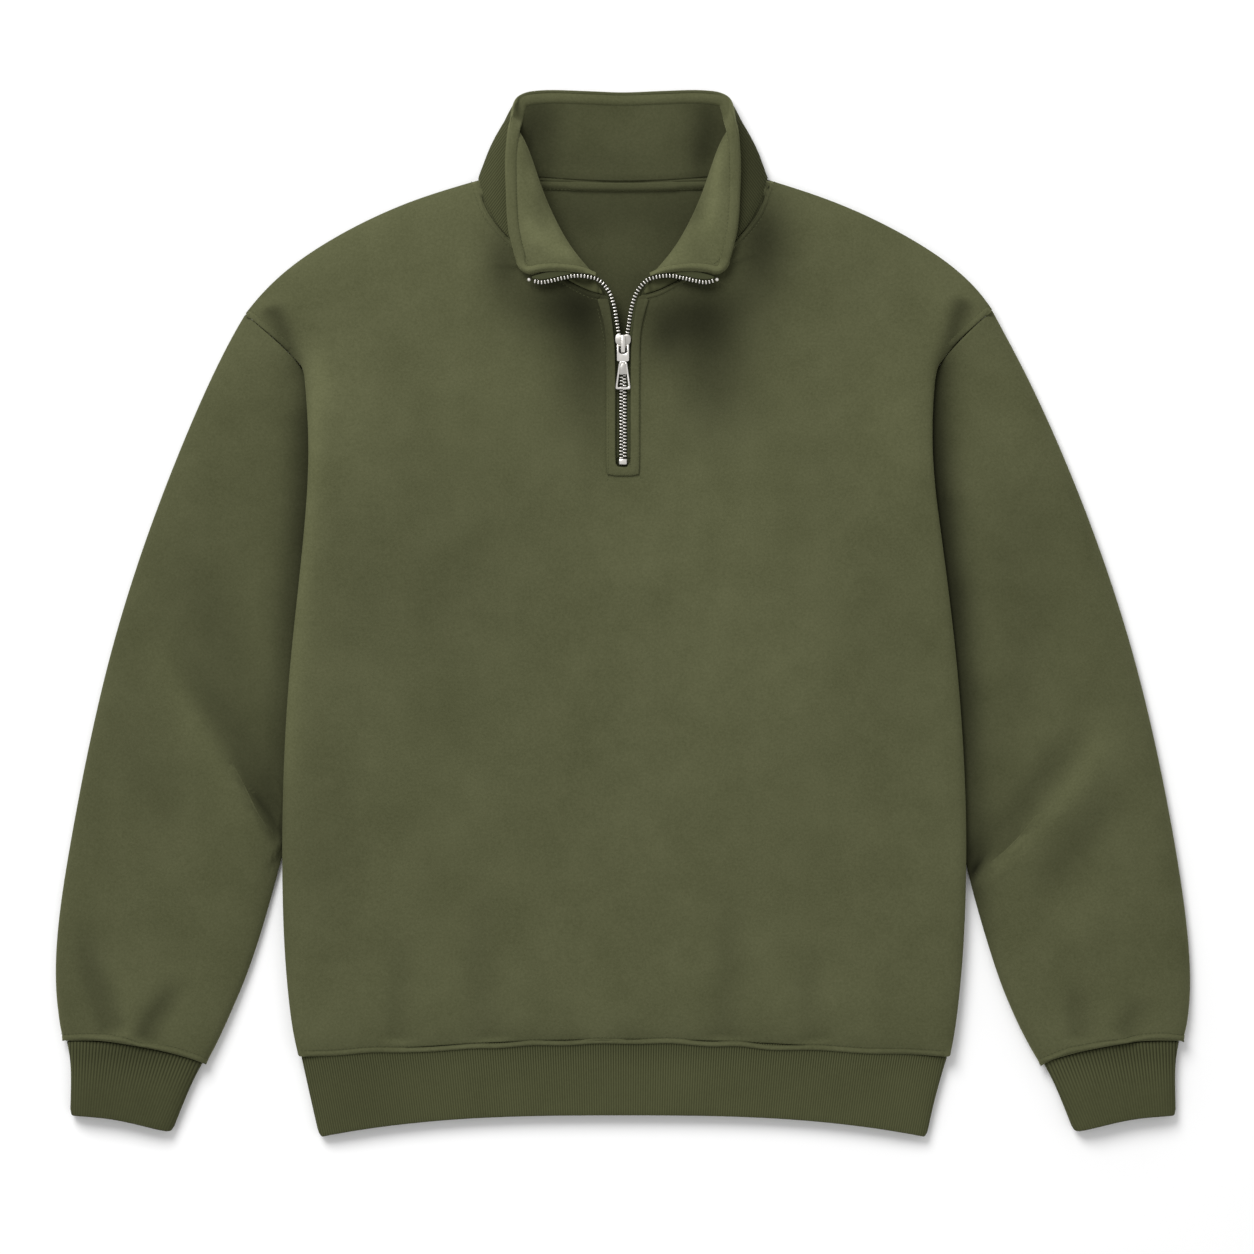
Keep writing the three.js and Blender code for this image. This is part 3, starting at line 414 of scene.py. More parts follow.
def roundCorner(piece, heading, radius):
    # pulls a sharp corner of the piece's outline in to an arc
    points = coordinates(piece)
    way = np.array(heading) / np.hypot(*heading)
    corner = points[(points[:, :2] @ way).argmax(), :2]
    centre = corner - way * mm(radius) / math.sin(cornerSpread)
    away = points[:, :2] - centre
    far = np.hypot(away[:, 0], away[:, 1])
    outside = (far > mm(radius)) & (away @ way > far * math.sin(cornerSpread))
    points[outside, :2] = centre + away[outside] * (mm(radius) / far[outside])[:, None]
    setCoordinates(piece, points)


def paintShadeAndLight(piece, tone):
    # painted shade and painted light: below 1 in the troughs and on the turned edges, above 1 on the ridges
    normals = np.empty(len(piece.data.vertices) * 3)
    piece.data.vertices.foreach_get("normal", normals)
    upright = np.abs(normals.reshape(-1, 3)[:, 2])
    # painted shade on the edges that turn away from upright
    tone = tone - paintedLightLimits["turnedEdgeShade"] * (1 - upright)
    layer = piece.data.attributes.new("nap_and_painted_light", "FLOAT", "POINT")
    layer.data.foreach_set("value", np.clip(1 + tone, paintedLightLimits["darkest"], paintedLightLimits["lightest"]))


def sharpEdges(bm, angle):
    return [edge for edge in bm.edges
            if len(edge.link_faces) == 2 and edge.calc_face_angle() > math.radians(angle)]


def shell(name, node, material, levels):
    # a smooth cloth shell over the plain solid of the same piece
    bm = bmesh.new()
    bm.from_mesh(nodes[node].data)
    bmesh.ops.remove_doubles(bm, verts=bm.verts, dist=mm(shellMaking["weld"]))
    bmesh.ops.join_triangles(bm, faces=bm.faces, angle_face_threshold=math.pi, angle_shape_threshold=math.pi)
    crease = bm.edges.layers.float.new("crease_edge")
    for edge in sharpEdges(bm, shellMaking["sharp"]):
        edge[crease] = shellMaking["hold"]
    piece = newPiece(name, bm, [material])
    smooth = piece.modifiers.new("smooth", "SUBSURF")
    smooth.levels = levels
    smooth.render_levels = levels
    settle(piece)
    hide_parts(node)
    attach(piece, "garment")
    return piece


paintedLightLimits = {"turnedEdgeShade": 0.3, "darkest": 0.1, "lightest": 1.6}
shellMaking = {"weld": 0.002, "sharp": 58, "hold": 0.7}
groups = {"nap_and_painted_light": makeNapGroup(), "ribWave": makeRibGroup()}
fleece = clothMaterial("fleece", cloth["fleece"])
ribKnit = clothMaterial("ribKnit", cloth["rib"], ribbed=True)
facing = clothMaterial("facing", cloth["facing"])
zipTape = clothMaterial("zipTape", cloth["tape"])
nickel = metalMaterial("zipNickel")
shadeMetal = metalMaterial("zipShade")
plainMetal = metalMaterial("zipPlain")
makeCamera()
makeStudio()
print("stage: camera, light, materials")

shells = {
    "back_panel": (fleece, "fleece", 2),
    "front_panel": (fleece, "fleece", 3),
    "sleeve_left": (fleece, "fleece", 3),
    "sleeve_right": (fleece, "fleece", 3),
    "cuff_left": (ribKnit, "rib", 3),
    "cuff_right": (ribKnit, "rib", 3),
    "hem_band": (ribKnit, "rib", 3),
    "collar_outer": (ribKnit, "rib", 2),
    "collar_inner": (facing, "facing", 2),
    "neck_tape": (facing, "facing", 2),
    "zip_placket": (fleece, "fleece", 2),
    "zip_tape_left": (zipTape, "tape", 2),
    "zip_tape_right": (zipTape, "tape", 2),
}
pieces = {}
for node, (material, slot, levels) in shells.items():
    pieces[node] = shell(f"{node}_cloth", node, material, levels)
print("stage: cloth shells")

# how the cloth lies: soft troughs and ridges, in millimetres, with painted shade in the troughs and painted
# light on the ridges
sleeveFolds = {
    "sleeve_left": [
        # the elbow fold, which sharpens towards the side of the body
        {"path": [(-349, -14), (-320, -62), (-297, -101), (-279, -138), (-264, -162), (-252, -175)],
         "fade": (0.55, 0.02), "bells": [(10, 12, -6), (-6, 10, 5)],
         "tones": [(10, 13, -0.3), (-9, 15, 0.08)]},
        {"path": [(-299, -98), (-282, -131), (-265, -161), (-254, -172)],
         "fade": (0.7, 0.01), "bells": [(2.6, 3.4, -4), (-3, 5, 2.2)],
         "tones": [(3, 3, -0.32), (-3, 4, 0.06)]},
        {"path": [(-335, 60), (-305, 0), (-282, -62), (-268, -120), (-262, -158)],
         "fade": (0.5, 0.1), "bells": [(0, 15, -4)], "tones": [(0, 17, -0.12)]},
        {"path": [(-362, 8), (-338, -44), (-312, -92), (-292, -132)],
         "fade": (0.4, 0.4), "bells": [(-4, 16, 3)], "tones": [(-4, 17, 0.11)]},
        {"path": [(-384, -60), (-362, -110), (-336, -158), (-318, -196)],
         "fade": (0.45, 0.45), "bells": [(0, 18, -2.6)], "tones": [(0, 20, -0.08)]},
        # gathers above the cuff
        {"path": [(-404, -225), (-399, -262), (-386, -298), (-380, -318)],
         "fade": (0.5, 0.1), "bells": [(0, 9, -4.6)], "tones": [(0, 10, -0.2)]},
        {"path": [(-330, -270), (-341, -292), (-351, -306), (-357, -322)],
         "fade": (0.5, 0.1), "bells": [(0, 8, -5)], "tones": [(0, 9, -0.26)]},
        {"path": [(-366, -262), (-370, -292), (-370, -322)],
         "fade": (0.6, 0.1), "bells": [(0, 10, 1.8)], "tones": [(0, 11, 0.05)]},
        {"path": [(-412, -110), (-408, -160), (-398, -214)],
         "fade": (0.5, 0.5), "bells": [(0, 20, -2)], "tones": [(0, 20, -0.05)]},
    ],
    "sleeve_right": [
        {"path": [(361, -76), (340, -112), (315, -142), (298, -166), (274, -186), (256, -202)],
         "fade": (0.4, 0.06), "bells": [(-9, 12, -4.4), (7, 11, 4)],
         "tones": [(-10, 13, -0.26), (9, 15, 0.08)]},
        {"path": [(318, -139), (299, -164), (275, -186), (258, -200)],
         "fade": (0.7, 0.06), "bells": [(-2.6, 3.4, -2.8), (3, 5, 2)],
         "tones": [(-3, 3, -0.28), (3, 4, 0.06)]},
        {"path": [(322, 40), (306, -30), (292, -90), (280, -140), (270, -172)],
         "fade": (0.5, 0.1), "bells": [(0, 16, -3.2)], "tones": [(0, 18, -0.1)]},
        {"path": [(372, -66), (352, -100), (326, -134), (300, -164)],
         "fade": (0.4, 0.4), "bells": [(8, 13, 3)], "tones": [(8, 14, 0.13)]},
        {"path": [(382, -112), (364, -146), (344, -172), (322, -200), (304, -232)],
         "fade": (0.4, 0.35), "bells": [(0, 13, -4)], "tones": [(0, 14, -0.17)]},
        {"path": [(372, -190), (350, -226), (326, -262)],
         "fade": (0.5, 0.45), "bells": [(0, 16, 2.4)], "tones": [(0, 17, 0.07)]},
        {"path": [(336, -276), (341, -294), (343, -320)],
         "fade": (0.5, 0.1), "bells": [(0, 8, -3.4)], "tones": [(0, 9, -0.15)]},
        {"path": [(394, -284), (386, -300), (378, -319)],
         "fade": (0.5, 0.1), "bells": [(0, 9, -3)], "tones": [(0, 10, -0.12)]},
        {"path": [(362, -268), (366, -292), (364, -322)],
         "fade": (0.6, 0.1), "bells": [(0, 10, 1.6)], "tones": [(0, 11, 0.04)]},
    ],
}
# the body's folds, whose tones are painted shade and painted light
bodyFolds = [
    # dimples where the shoulders drop into the side folds
    {"path": [(-262, 235), (-255, 222), (-249, 206), (-245, 188), (-243, 160)],
     "fade": (0.12, 0.45), "bells": [(-6, 8, -4.2), (7, 9, 1.2)], "tones": [(-4, 9, -0.42)]},
    {"path": [(257, 240), (250, 226), (245, 208), (240, 188), (237, 160)],
     "fade": (0.12, 0.45), "bells": [(6, 8, -4.2), (-7, 9, 1.2)], "tones": [(4, 9, -0.4)]},
    # hollows under the collar's fronts and beside the zip
    {"path": [(70, 262), (76, 238), (70, 212), (60, 180)],
     "fade": (0.05, 0.75), "bells": [(0, 22, -3)]},
    {"path": [(-72, 262), (-72, 238), (-62, 212), (-54, 180)],
     "fade": (0.05, 0.75), "bells": [(0, 18, -2.6)]},
    {"path": [(24, 232), (26, 200), (24, 165), (20, 125)],
     "fade": (0.1, 0.7), "bells": [(0, 9, -1.2)]},
    {"path": [(-24, 232), (-25, 200), (-24, 165), (-20, 125)],
     "fade": (0.1, 0.7), "bells": [(0, 9, -1.2)]},
    # slack across the chest and belly
    {"path": [(-232, 120), (-205, 60), (-196, -20), (-202, -110)],
     "fade": (0.5, 0.5), "bells": [(0, 26, -1.8)], "tones": [(0, 30, -0.05)]},
    {"path": [(212, 110), (196, 40), (200, -60), (206, -150)],
     "fade": (0.5, 0.5), "bells": [(0, 24, -1.6)], "tones": [(0, 28, -0.04)]},
    {"path": [(-90, 60), (-120, 10), (-150, -60)],
     "fade": (0.5, 0.5), "bells": [(0, 34, -1.6)], "tones": [(0, 36, -0.04)]},
    {"path": [(110, 20), (128, -50), (122, -120)],
     "fade": (0.5, 0.5), "bells": [(0, 30, 1.5)], "tones": [(0, 34, 0.04)]},
    # gathers above the hem band
    {"path": [(-98, -190), (-104, -250), (-98, -322)],
     "fade": (0.6, 0.05), "bells": [(0, 12, -3.4)], "tones": [(0, 13, -0.11)]},
    {"path": [(-172, -215), (-164, -262), (-168, -322)],
     "fade": (0.6, 0.05), "bells": [(0, 10, -2.8)], "tones": [(0, 11, -0.1)]},
    {"path": [(72, -180), (84, -245), (80, -322)],
     "fade": (0.6, 0.05), "bells": [(0, 12, -3.4)], "tones": [(0, 13, -0.11)]},
    {"path": [(150, -232), (142, -272), (146, -322)],
     "fade": (0.6, 0.05), "bells": [(0, 10, -2.6)], "tones": [(0, 11, -0.09)]},
    {"path": [(-20, -240), (-12, -280), (-16, -322)],
     "fade": (0.6, 0.05), "bells": [(0, 14, 1.6)], "tones": [(0, 15, 0.03)]},
]
# the body's side folds: where their rim is, and where the painted shade beside them fades at the top
sideRim = {"beyond": 200, "below": 182, "top": (180, 215), "topLoss": 0.5}
edgeLit = {"strength": 0.3, "width": 11, "rise": (-150, -80)}
sideDark = {
    # how far beside the body the painted shade on the sleeve reaches, and how dark it is at some heights
    "sleeve_left": (16, [(-190, -0.2), (-140, -0.3), (-100, -0.42), (-60, -0.38), (0, -0.5), (60, -0.62)]),
    "sleeve_right": (16, [(-190, -0.5), (-140, -0.5), (-100, -0.66), (0, -0.76), (60, -0.8)]),
}


def fromSide(piece, side):
    # how far each point lies outside the body's side fold, in millimetres
    points = coordinates(piece) / millimetre
    body = coordinates(nodes["front_panel"]) / millimetre
    rim = body[(body[:, 0] * side > sideRim["beyond"]) & (body[:, 1] < sideRim["below"])]
    rows = np.unique(rim[:, 1].round(0))
    edges = np.array([(rim[np.abs(rim[:, 1] - row) < 1][:, 0] * side).max() for row in rows])
    edges = calmed(highest(edges, 2), 2)
    return points[:, 0] * side - np.interp(points[:, 1], rows, edges), points[:, 1]


def besideBody(piece, node):
    # painted shade on the sleeve, darker towards the side fold of the body, which lies on it
    reach, heights = fromSide(piece, 1 if node == "sleeve_right" else -1)
    wide, depths = sideDark[node]
    fade = 1 - sideRim["topLoss"] * ease(heights, *sideRim["top"])
    return np.interp(heights, *zip(*depths)) * bell(np.clip(reach, 0, None), wide) * fade


def edgeLight(piece):
    # painted highlight where the body's left fold turns towards the light
    reach, heights = fromSide(piece, -1)
    fade = 1 - ease(heights, *sideRim["top"])
    return edgeLit["strength"] * bell(reach, edgeLit["width"]) * ease(heights, *edgeLit["rise"]) * fade


patches = {
    # painted shade and painted light: centre x, y, half widths, tone
    "front_panel": [
        (-212, 160, 34, 70, 0.1), (206, 150, 34, 70, 0.14), (-150, 262, 60, 30, 0.06),
        (96, 90, 60, 80, 0.05), (-24, 194, 27, 60, -0.52), (-48, 235, 40, 30, -0.6),
        (-90, 268, 14, 26, -0.42), (56, 226, 44, 33, -0.66), (68, 176, 30, 44, -0.42),
        (30, 206, 14, 24, -0.25), (104, 282, 24, 42, -0.65), (-130, 50, 95, 120, -0.11),
        (-110, 150, 50, 70, 0.08),
        (0, -130, 190, 120, -0.03), (150, 250, 60, 40, -0.04), (-60, -40, 60, 80, 0.04),
        (70, -60, 46, 120, 0.04), (20, 60, 70, 60, 0.03), (-222, -180, 30, 90, -0.12),
    ],
    "zip_tape_left": [(-6, 205, 10, 45, -0.45)],
    "zip_placket": [(-14, 212, 10, 46, -0.5), (13, 222, 9, 34, -0.4)],
    "sleeve_left": [(-330, 120, 60, 120, -0.05), (-395, -60, 40, 130, -0.1), (-322, 0, 46, 80, -0.13),
                    (-405, -270, 26, 60, -0.1), (-300, -110, 14, 30, 0.06)],
    "sleeve_right": [(330, 110, 60, 110, -0.06), (400, -40, 40, 140, -0.03), (350, -190, 30, 60, -0.03),
                     (300, 150, 30, 60, 0.08), (292, 40, 26, 80, -0.12)],
    "collar_inner": [
        (-71, 352, 6, 26, -0.2), (-60, 304, 7, 20, -0.22), (-62, 284, 11, 9, 0.16), (-44, 270, 12, 7, 0.18),
        (-68, 330, 5, 18, 0.14), (-72, 268, 8, 8, -0.08), (66, 288, 9, 20, 0.16), (71, 326, 5, 24, 0.12),
        (42, 266, 12, 7, 0.16), (54, 300, 6, 12, -0.16), (-64, 300, 16, 50, -0.08), (0, 372, 60, 12, 0.05),
        (-20, 340, 40, 9, -0.08), (62, 366, 14, 22, -0.2), (-58, 370, 15, 20, -0.22), (58, 340, 9, 16, -0.2),
        (-56, 340, 8, 14, -0.12), (60, 270, 8, 8, -0.1), (-30, 262, 9, 5, -0.12),
    ],
    "back_panel": [(-30, 300, 30, 16, -0.1), (34, 300, 30, 16, -0.1), (0, 270, 40, 20, 0.08)],
    "hem_band": [(-200, -360, 60, 60, -0.14), (0, -322, 300, 8, -0.12)],
    "cuff_left": [(-370, -360, 80, 60, -0.2), (-360, -328, 60, 8, -0.16)],
    "cuff_right": [(360, -328, 60, 8, -0.16), (360, -360, 80, 60, -0.07)],
}
corners = [
    # node, the way the corner points, radius
    ("hem_band", (-0.62, -0.79), 4.5), ("hem_band", (0.62, -0.79), 4.5),
    ("cuff_left", (-0.77, -0.64), 4), ("cuff_left", (0.43, -0.9), 4),
    ("cuff_right", (0.77, -0.64), 4), ("cuff_right", (-0.43, -0.9), 4),
    ("front_panel", (-0.5, -0.87), 3), ("front_panel", (0.5, -0.87), 3),
    ("sleeve_left", (0.57, -0.82), 3), ("sleeve_right", (-0.57, -0.82), 3),
    ("sleeve_left", (-0.5, -0.87), 3), ("sleeve_right", (0.5, -0.87), 3),
]
for node, heading, radius in corners:
    roundCorner(pieces[node], heading, radius)
# painted shade: each sleeve a little darker all over
sleeveShade = {"sleeve_left": -0.04, "sleeve_right": -0.03}
plyHeights = {"sleeves": 4.5, "body": 9, "collar": 12}
kinks = {"places": [(-101, 292), (102, 292)], "radius": 17, "rounds": 14}
front = pieces["front_panel"]
for x, y in kinks["places"]:
    calmSpot(front, x, y, kinks["radius"], kinks["rounds"])
for node, folds in sleeveFolds.items():
    sleeve = pieces[node]
    tone = pressFolds(sleeve, folds, plyHeights["sleeves"]) + softPatches(sleeve, patches[node])
    paintShadeAndLight(sleeve, sleeveShade[node] + tone + besideBody(sleeve, node))
tone = pressFolds(front, bodyFolds, plyHeights["body"]) + softPatches(front, patches["front_panel"])
paintShadeAndLight(front, tone + edgeLight(front))

# folds on the lapels, whose tones are painted shade and painted light
lapelFolds = [
    {"path": [(-72, 358), (-68, 330), (-60, 304), (-50, 288)],
     "fade": (0.35, 0.4), "bells": [(0, 8, -1.8)], "tones": [(0, 9, -0.12)]},
    {"path": [(-74, 300), (-66, 282), (-50, 272), (-34, 264)],
     "fade": (0.25, 0.3), "bells": [(0, 6, 1.8)], "tones": [(0, 7, 0.12)]},
    {"path": [(74, 352), (71, 322), (68, 292), (60, 274)],
     "fade": (0.25, 0.3), "bells": [(0, 7, 2)], "tones": [(0, 7, 0.12)]},
    {"path": [(62, 322), (56, 300), (46, 284)],
     "fade": (0.3, 0.4), "bells": [(0, 6, -2)], "tones": [(0, 6, -0.16)]},
]
# painted shade on the stand, its corners and the outer collar, more on the right; painted light on the
# lapels
collarPaintedLight = {
    "stand": -0.3, "lapel": 0.52, "lapelRise": (9, 16),
    "corner": -0.14, "cornerAt": 66, "cornerWide": 14, "cornerRise": (330, 352),
    "outer": -0.14, "outerRight": -0.34, "outerAcross": (0, 80),
}
# painted shade inside the garment, seen through the neck
insideTone = {"back_panel": -0.41, "neck_tape": -0.26, "zip_placket": -0.04}


def innerTone(name, piece):
    # painted shade on the inside of the stand behind the two lapels, and painted light on the lapels, which
    # the light reaches; painted shade on the outer collar, more on the right
    x, y, z = coordinates(piece).T / millimetre
    if name == "collar_inner":
        lapel = ease(z, *collarPaintedLight["lapelRise"])
        corner = bell(np.abs(x) - collarPaintedLight["cornerAt"], collarPaintedLight["cornerWide"])
        corner = corner * ease(y, *collarPaintedLight["cornerRise"]) * (1 - lapel)
        folds = pressFolds(piece, lapelFolds, plyHeights["collar"])
        return folds + collarPaintedLight["stand"] + collarPaintedLight["lapel"] * lapel + collarPaintedLight["corner"] * corner
    if name == "collar_outer":
        return collarPaintedLight["outer"] + collarPaintedLight["outerRight"] * ease(x, *collarPaintedLight["outerAcross"])
    return np.full(len(x), insideTone.get(name, 0.0))


for name, piece in pieces.items():
    if "nap_and_painted_light" not in piece.data.attributes:
        paintShadeAndLight(piece, innerTone(name, piece) + softPatches(piece, patches.get(name, [])))
print("stage: folds")

# the knit's own maps, in millimetres; depth is how deep the ribs stand and how much painted shade lies in
# their grooves, more where they are gathered
ribs = {
    "hem": {"pitch": 1.9, "narrowing": 0.062, "depth": (0.5, 0.6), "gathered": (-0.45, -0.05)},
    "cuff": {"pitch": 2.4, "depth": (0.3, 0.8), "gathered": (-42, -8), "fan": (3, 158), "widest": 10},
    "collar": {"pitch": 1.7, "depth": 0.6, "spread": 0.8, "lean": 0.6, "leanFrom": (10, 74), "middle": 320},
}


def mapRibs(piece, across, depth):
    # one rib for each whole number across, 10 mm for each along
    deep = piece.data.attributes.new("rib_depth", "FLOAT", "POINT")
    deep.data.foreach_set("value", np.zeros(len(piece.data.vertices)) + depth)
    layer = piece.data.uv_layers.new(name="ribs")
    points = coordinates(piece) / millimetre
    along = points[:, 1] / 10
    for loop in piece.data.loops:
        layer.data[loop.index].uv = (across[loop.vertex_index], along[loop.vertex_index])


def ribHem():
    knit = ribs["hem"]
    points = coordinates(pieces["hem_band"]) / millimetre
    low, high = (corner / millimetre for corner in map(np.array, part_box("hem_band")))
    middle = (low[0] + high[0]) / 2
    down = (high[1] - points[:, 1]) / (high[1] - low[1])
    half = (high[0] - low[0]) / 2 * (1 - knit["narrowing"] * down)
    across = (points[:, 0] - middle) / half * (high[0] - low[0]) / 2 / knit["pitch"]
    plain, more = knit["depth"]
    mapRibs(pieces["hem_band"], across, plain + more * ease(-down, *knit["gathered"]))


def ribCuff(node, side):
    # the ribs fan out from a point below the mouth
    knit = ribs["cuff"]
    points = coordinates(pieces[node]) / millimetre
    low, high = (corner / millimetre for corner in map(np.array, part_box(node)))
    outer = high[0] if side > 0 else low[0]
    inward, below = knit["fan"]
    fan = np.array([outer - side * inward, low[1] - below])
    angle = np.arctan2((points[:, 0] - fan[0]) * side, points[:, 1] - fan[1])
    start, end = knit["gathered"]
    plain, more = knit["depth"]
    depth = plain + more * ease(points[:, 1], high[1] + start, high[1] + end)
    mapRibs(pieces[node], angle * (high[1] - fan[1] - knit["widest"]) / knit["pitch"], depth)


def ribCollar():
    # ribs lean with the rise of the collar on both sides
    knit = ribs["collar"]
    points = coordinates(pieces["collar_outer"]) / millimetre
    lean = knit["lean"] * np.sign(points[:, 0]) * ease(np.abs(points[:, 0]), *knit["leanFrom"])
    across = knit["spread"] * points[:, 0] + lean * (points[:, 1] - knit["middle"])
    mapRibs(pieces["collar_outer"], across / knit["pitch"], knit["depth"])


ribHem()
ribCuff("cuff_left", -1)
ribCuff("cuff_right", 1)
ribCollar()
print("stage: rib maps")

# seam lines in plan, in millimetres
seams = {
    "hem": [(-240, -331.2), (-214, -330.4), (-188, -328.2), (-166, -328.2), (-142, -327.4), (-112, -325.2),
            (-92, -324.9), (-68, -322.8), (-42, -322.9), (-18, -321.4), (10, -321.9), (36, -321.3),
            (64, -323.6), (88, -323.6), (112, -326.3), (146, -326.4), (182, -328.9), (214, -329.4),
            (243, -331.4)],
    "cuff_left": [(-420, -319.2), (-404, -318), (-386, -318.6), (-374, -320.6), (-362, -324.6),
                  (-350, -325.4), (-338, -327.8), (-325, -331.6), (-312, -337)],
    "cuff_right": [(313, -337.4), (323, -333), (334, -328.6), (348, -325.8), (362, -323.2), (376, -321.6),
                   (390, -318.4), (404, -317.6), (421, -319.4)],
    "arm_left": [(-282, 225.1), (-279.2, 222.6), (-270.2, 214.9), (-258.4, 204.6), (-249.6, 196.2)],
    "arm_right": [(276.8, 228), (273.6, 225.2), (265, 217.6), (254.6, 207.6), (246.2, 198.6)],
    "neck_left": [(-109.3, 325), (-108.4, 320.8), (-106.2, 314.2), (-102, 302.5), (-93.6, 289.9),
                  (-81.6, 277.7), (-68.1, 267), (-53.6, 257.4), (-38.1, 248.4), (-25.6, 241.9),
                  (-16, 239.4)],
    "neck_right": [(110.2, 325), (109.3, 320.8), (107.1, 314.2), (103, 302.7), (94.4, 290.1), (82.4, 277.9),
                   (68.9, 267), (54.4, 257.4), (38.9, 248.4), (26.4, 241.9), (16.9, 239.4)],
}
collarEdge = [(21, 253.2), (27, 255), (36, 256.6), (50, 257.8), (62, 257), (69, 255.4), (73.4, 256),
              (77.8, 259.4), (81.2, 266), (84.8, 280), (87.2, 297.6), (88, 316.6), (88.2, 338.6), (87, 355),
              (84.6, 369.4), (82, 380.4), (79.4, 386.6), (74, 390), (66, 391.6), (52, 392.2), (28, 391.4),
              (0.4, 390.4)]
rayStart = 0.2  # metres above the floor


def snapper(onto):
    # finds the cloth's height under a point, looking down on the named pieces
    trees = []
    for name in onto:
        bm = bmesh.new()
        bm.from_mesh(pieces[name].data)
        trees.append(BVHTree.FromBMesh(bm))
        bm.free()

    def height(x, y):
        hits = [tree.ray_cast(Vector((x, y, rayStart)), Vector((0, 0, -1)))[0] for tree in trees]
        return max([hit.z for hit in hits if hit], default=None)

    return height


def evenly(path, step):
    # points a fixed step apart along a path in plan
    points = smoothPath([(x, y, 0) for x, y in path], 12)
    walked = [0]
    for a, b in zip(points, points[1:]):
        walked.append(walked[-1] + (b - a).length)
    places = np.linspace(0, walked[-1], max(2, round(walked[-1] / step)))
    xs = np.interp(places, walked, [point.x for point in points])
    ys = np.interp(places, walked, [point.y for point in points])
    return [Vector((x, y)) for x, y in zip(xs, ys)]


def sideways(path, row):
    way = path[min(row + 1, len(path) - 1)] - path[max(row - 1, 0)]
    return Vector((-way.y, way.x)).normalized()


weltMaking = {"step": 1.6, "thick": 0.9, "taper": 0.012, "under": 6, "sunkEnd": 0.5}


def welt(name, path, profile, onto, material, slot, step=weltMaking["step"], thick=weltMaking["thick"],
         narrow=((0, 1), (1, 1)), taper=weltMaking["taper"], reach=0, calm=2):
    # a sewn ridge: the profile's (side, height) points swept along a seam and laid on the cloth;
    # reach and calm say how far its height is evened, narrow how its width goes along the seam
    path = evenly(path, step)
    share = np.linspace(0, 1, len(path))
    widths = np.interp(share, *zip(*narrow))
    fullness = ease(np.minimum(share, 1 - share), -0.001, taper)
    sunk = mm(weltMaking["sunkEnd"]) * (1 - fullness)
    height = snapper(onto)
    bm = bmesh.new()
    bmesh.ops.create_grid(bm, x_segments=len(path) - 1, y_segments=len(profile) - 1, size=1)
    bm.verts.ensure_lookup_table()
    below = mm(weltMaking["under"])
    for column, (side, rise) in enumerate(profile):
        spots = [spot + sideways(path, row) * side * widths[row] for row, spot in enumerate(path)]
        heights = [height(mm(spot.x), mm(spot.y)) for spot in spots]
        known = [value for value in heights if value is not None] or [below]
        filled = np.array([value if value is not None else min(known) for value in heights])
        below = filled.mean()
        filled = calmed(highest(filled, reach), calm)
        for row, spot in enumerate(spots):
            vert = bm.verts[column * len(path) + row]
            vert.co = (mm(spot.x), mm(spot.y), filled[row] + mm(rise) * fullness[row] - sunk[row])
    bmesh.ops.recalc_face_normals(bm, faces=bm.faces)
    if sum(face.normal.z for face in bm.faces) < 0:
        bmesh.ops.reverse_faces(bm, faces=bm.faces)
    piece = newPiece(name, bm, [material])
    body = piece.modifiers.new("body", "SOLIDIFY")
    body.thickness = mm(thick)
    body.offset = -1
    settle(piece)
    paintShadeAndLight(piece, np.zeros(len(piece.data.vertices)))
    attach(piece, "garment")
    pieces[name] = piece
    return piece


def setPaintedLight(piece, values):
    piece.data.attributes["nap_and_painted_light"].data.foreach_set("value", np.zeros(len(piece.data.vertices)) + values)


def matchPaintedLight(piece, source):
    # the strip takes the painted shade and painted light of the cloth under it
    points = coordinates(source)
    values = np.empty(len(points))
    source.data.attributes["nap_and_painted_light"].data.foreach_get("value", values)
    tree = KDTree(len(points))
    for index, point in enumerate(points):
        tree.insert(point, index)
    tree.balance()
    setPaintedLight(piece, [values[tree.find(vert.co)[1]] for vert in piece.data.vertices])


stitch = {"pitch": 2.8, "length": 2.0, "radius": 0.22, "raised": 0.3}


def stitchRow(name, path, side, onto):
    # a row of thread stitches beside a seam
    path = evenly(path, stitch["pitch"])
    radius = stitch["radius"]
    height = snapper(onto)
    bm = bmesh.new()
    last = Vector((0, 0))
    for row, spot in enumerate(path[:-1]):
        across = sideways(path, row)
        at = spot + across * side
        if (at - last).length < stitch["length"]:
            continue
        last = at
        top = height(mm(at.x), mm(at.y))
        if top is None:
            continue
        place = Matrix.Translation((mm(at.x), mm(at.y), top + mm(radius * stitch["raised"])))
        turn = Vector((across.y, -across.x, 0)).to_track_quat("X", "Z").to_matrix().to_4x4()
        size = Matrix.Diagonal((mm(stitch["length"] / 2), mm(radius), mm(radius), 1))
        bmesh.ops.create_uvsphere(bm, u_segments=6, v_segments=4, radius=1, matrix=place @ turn @ size)
    piece = newPiece(name, bm, [thread])
    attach(piece, "garment")


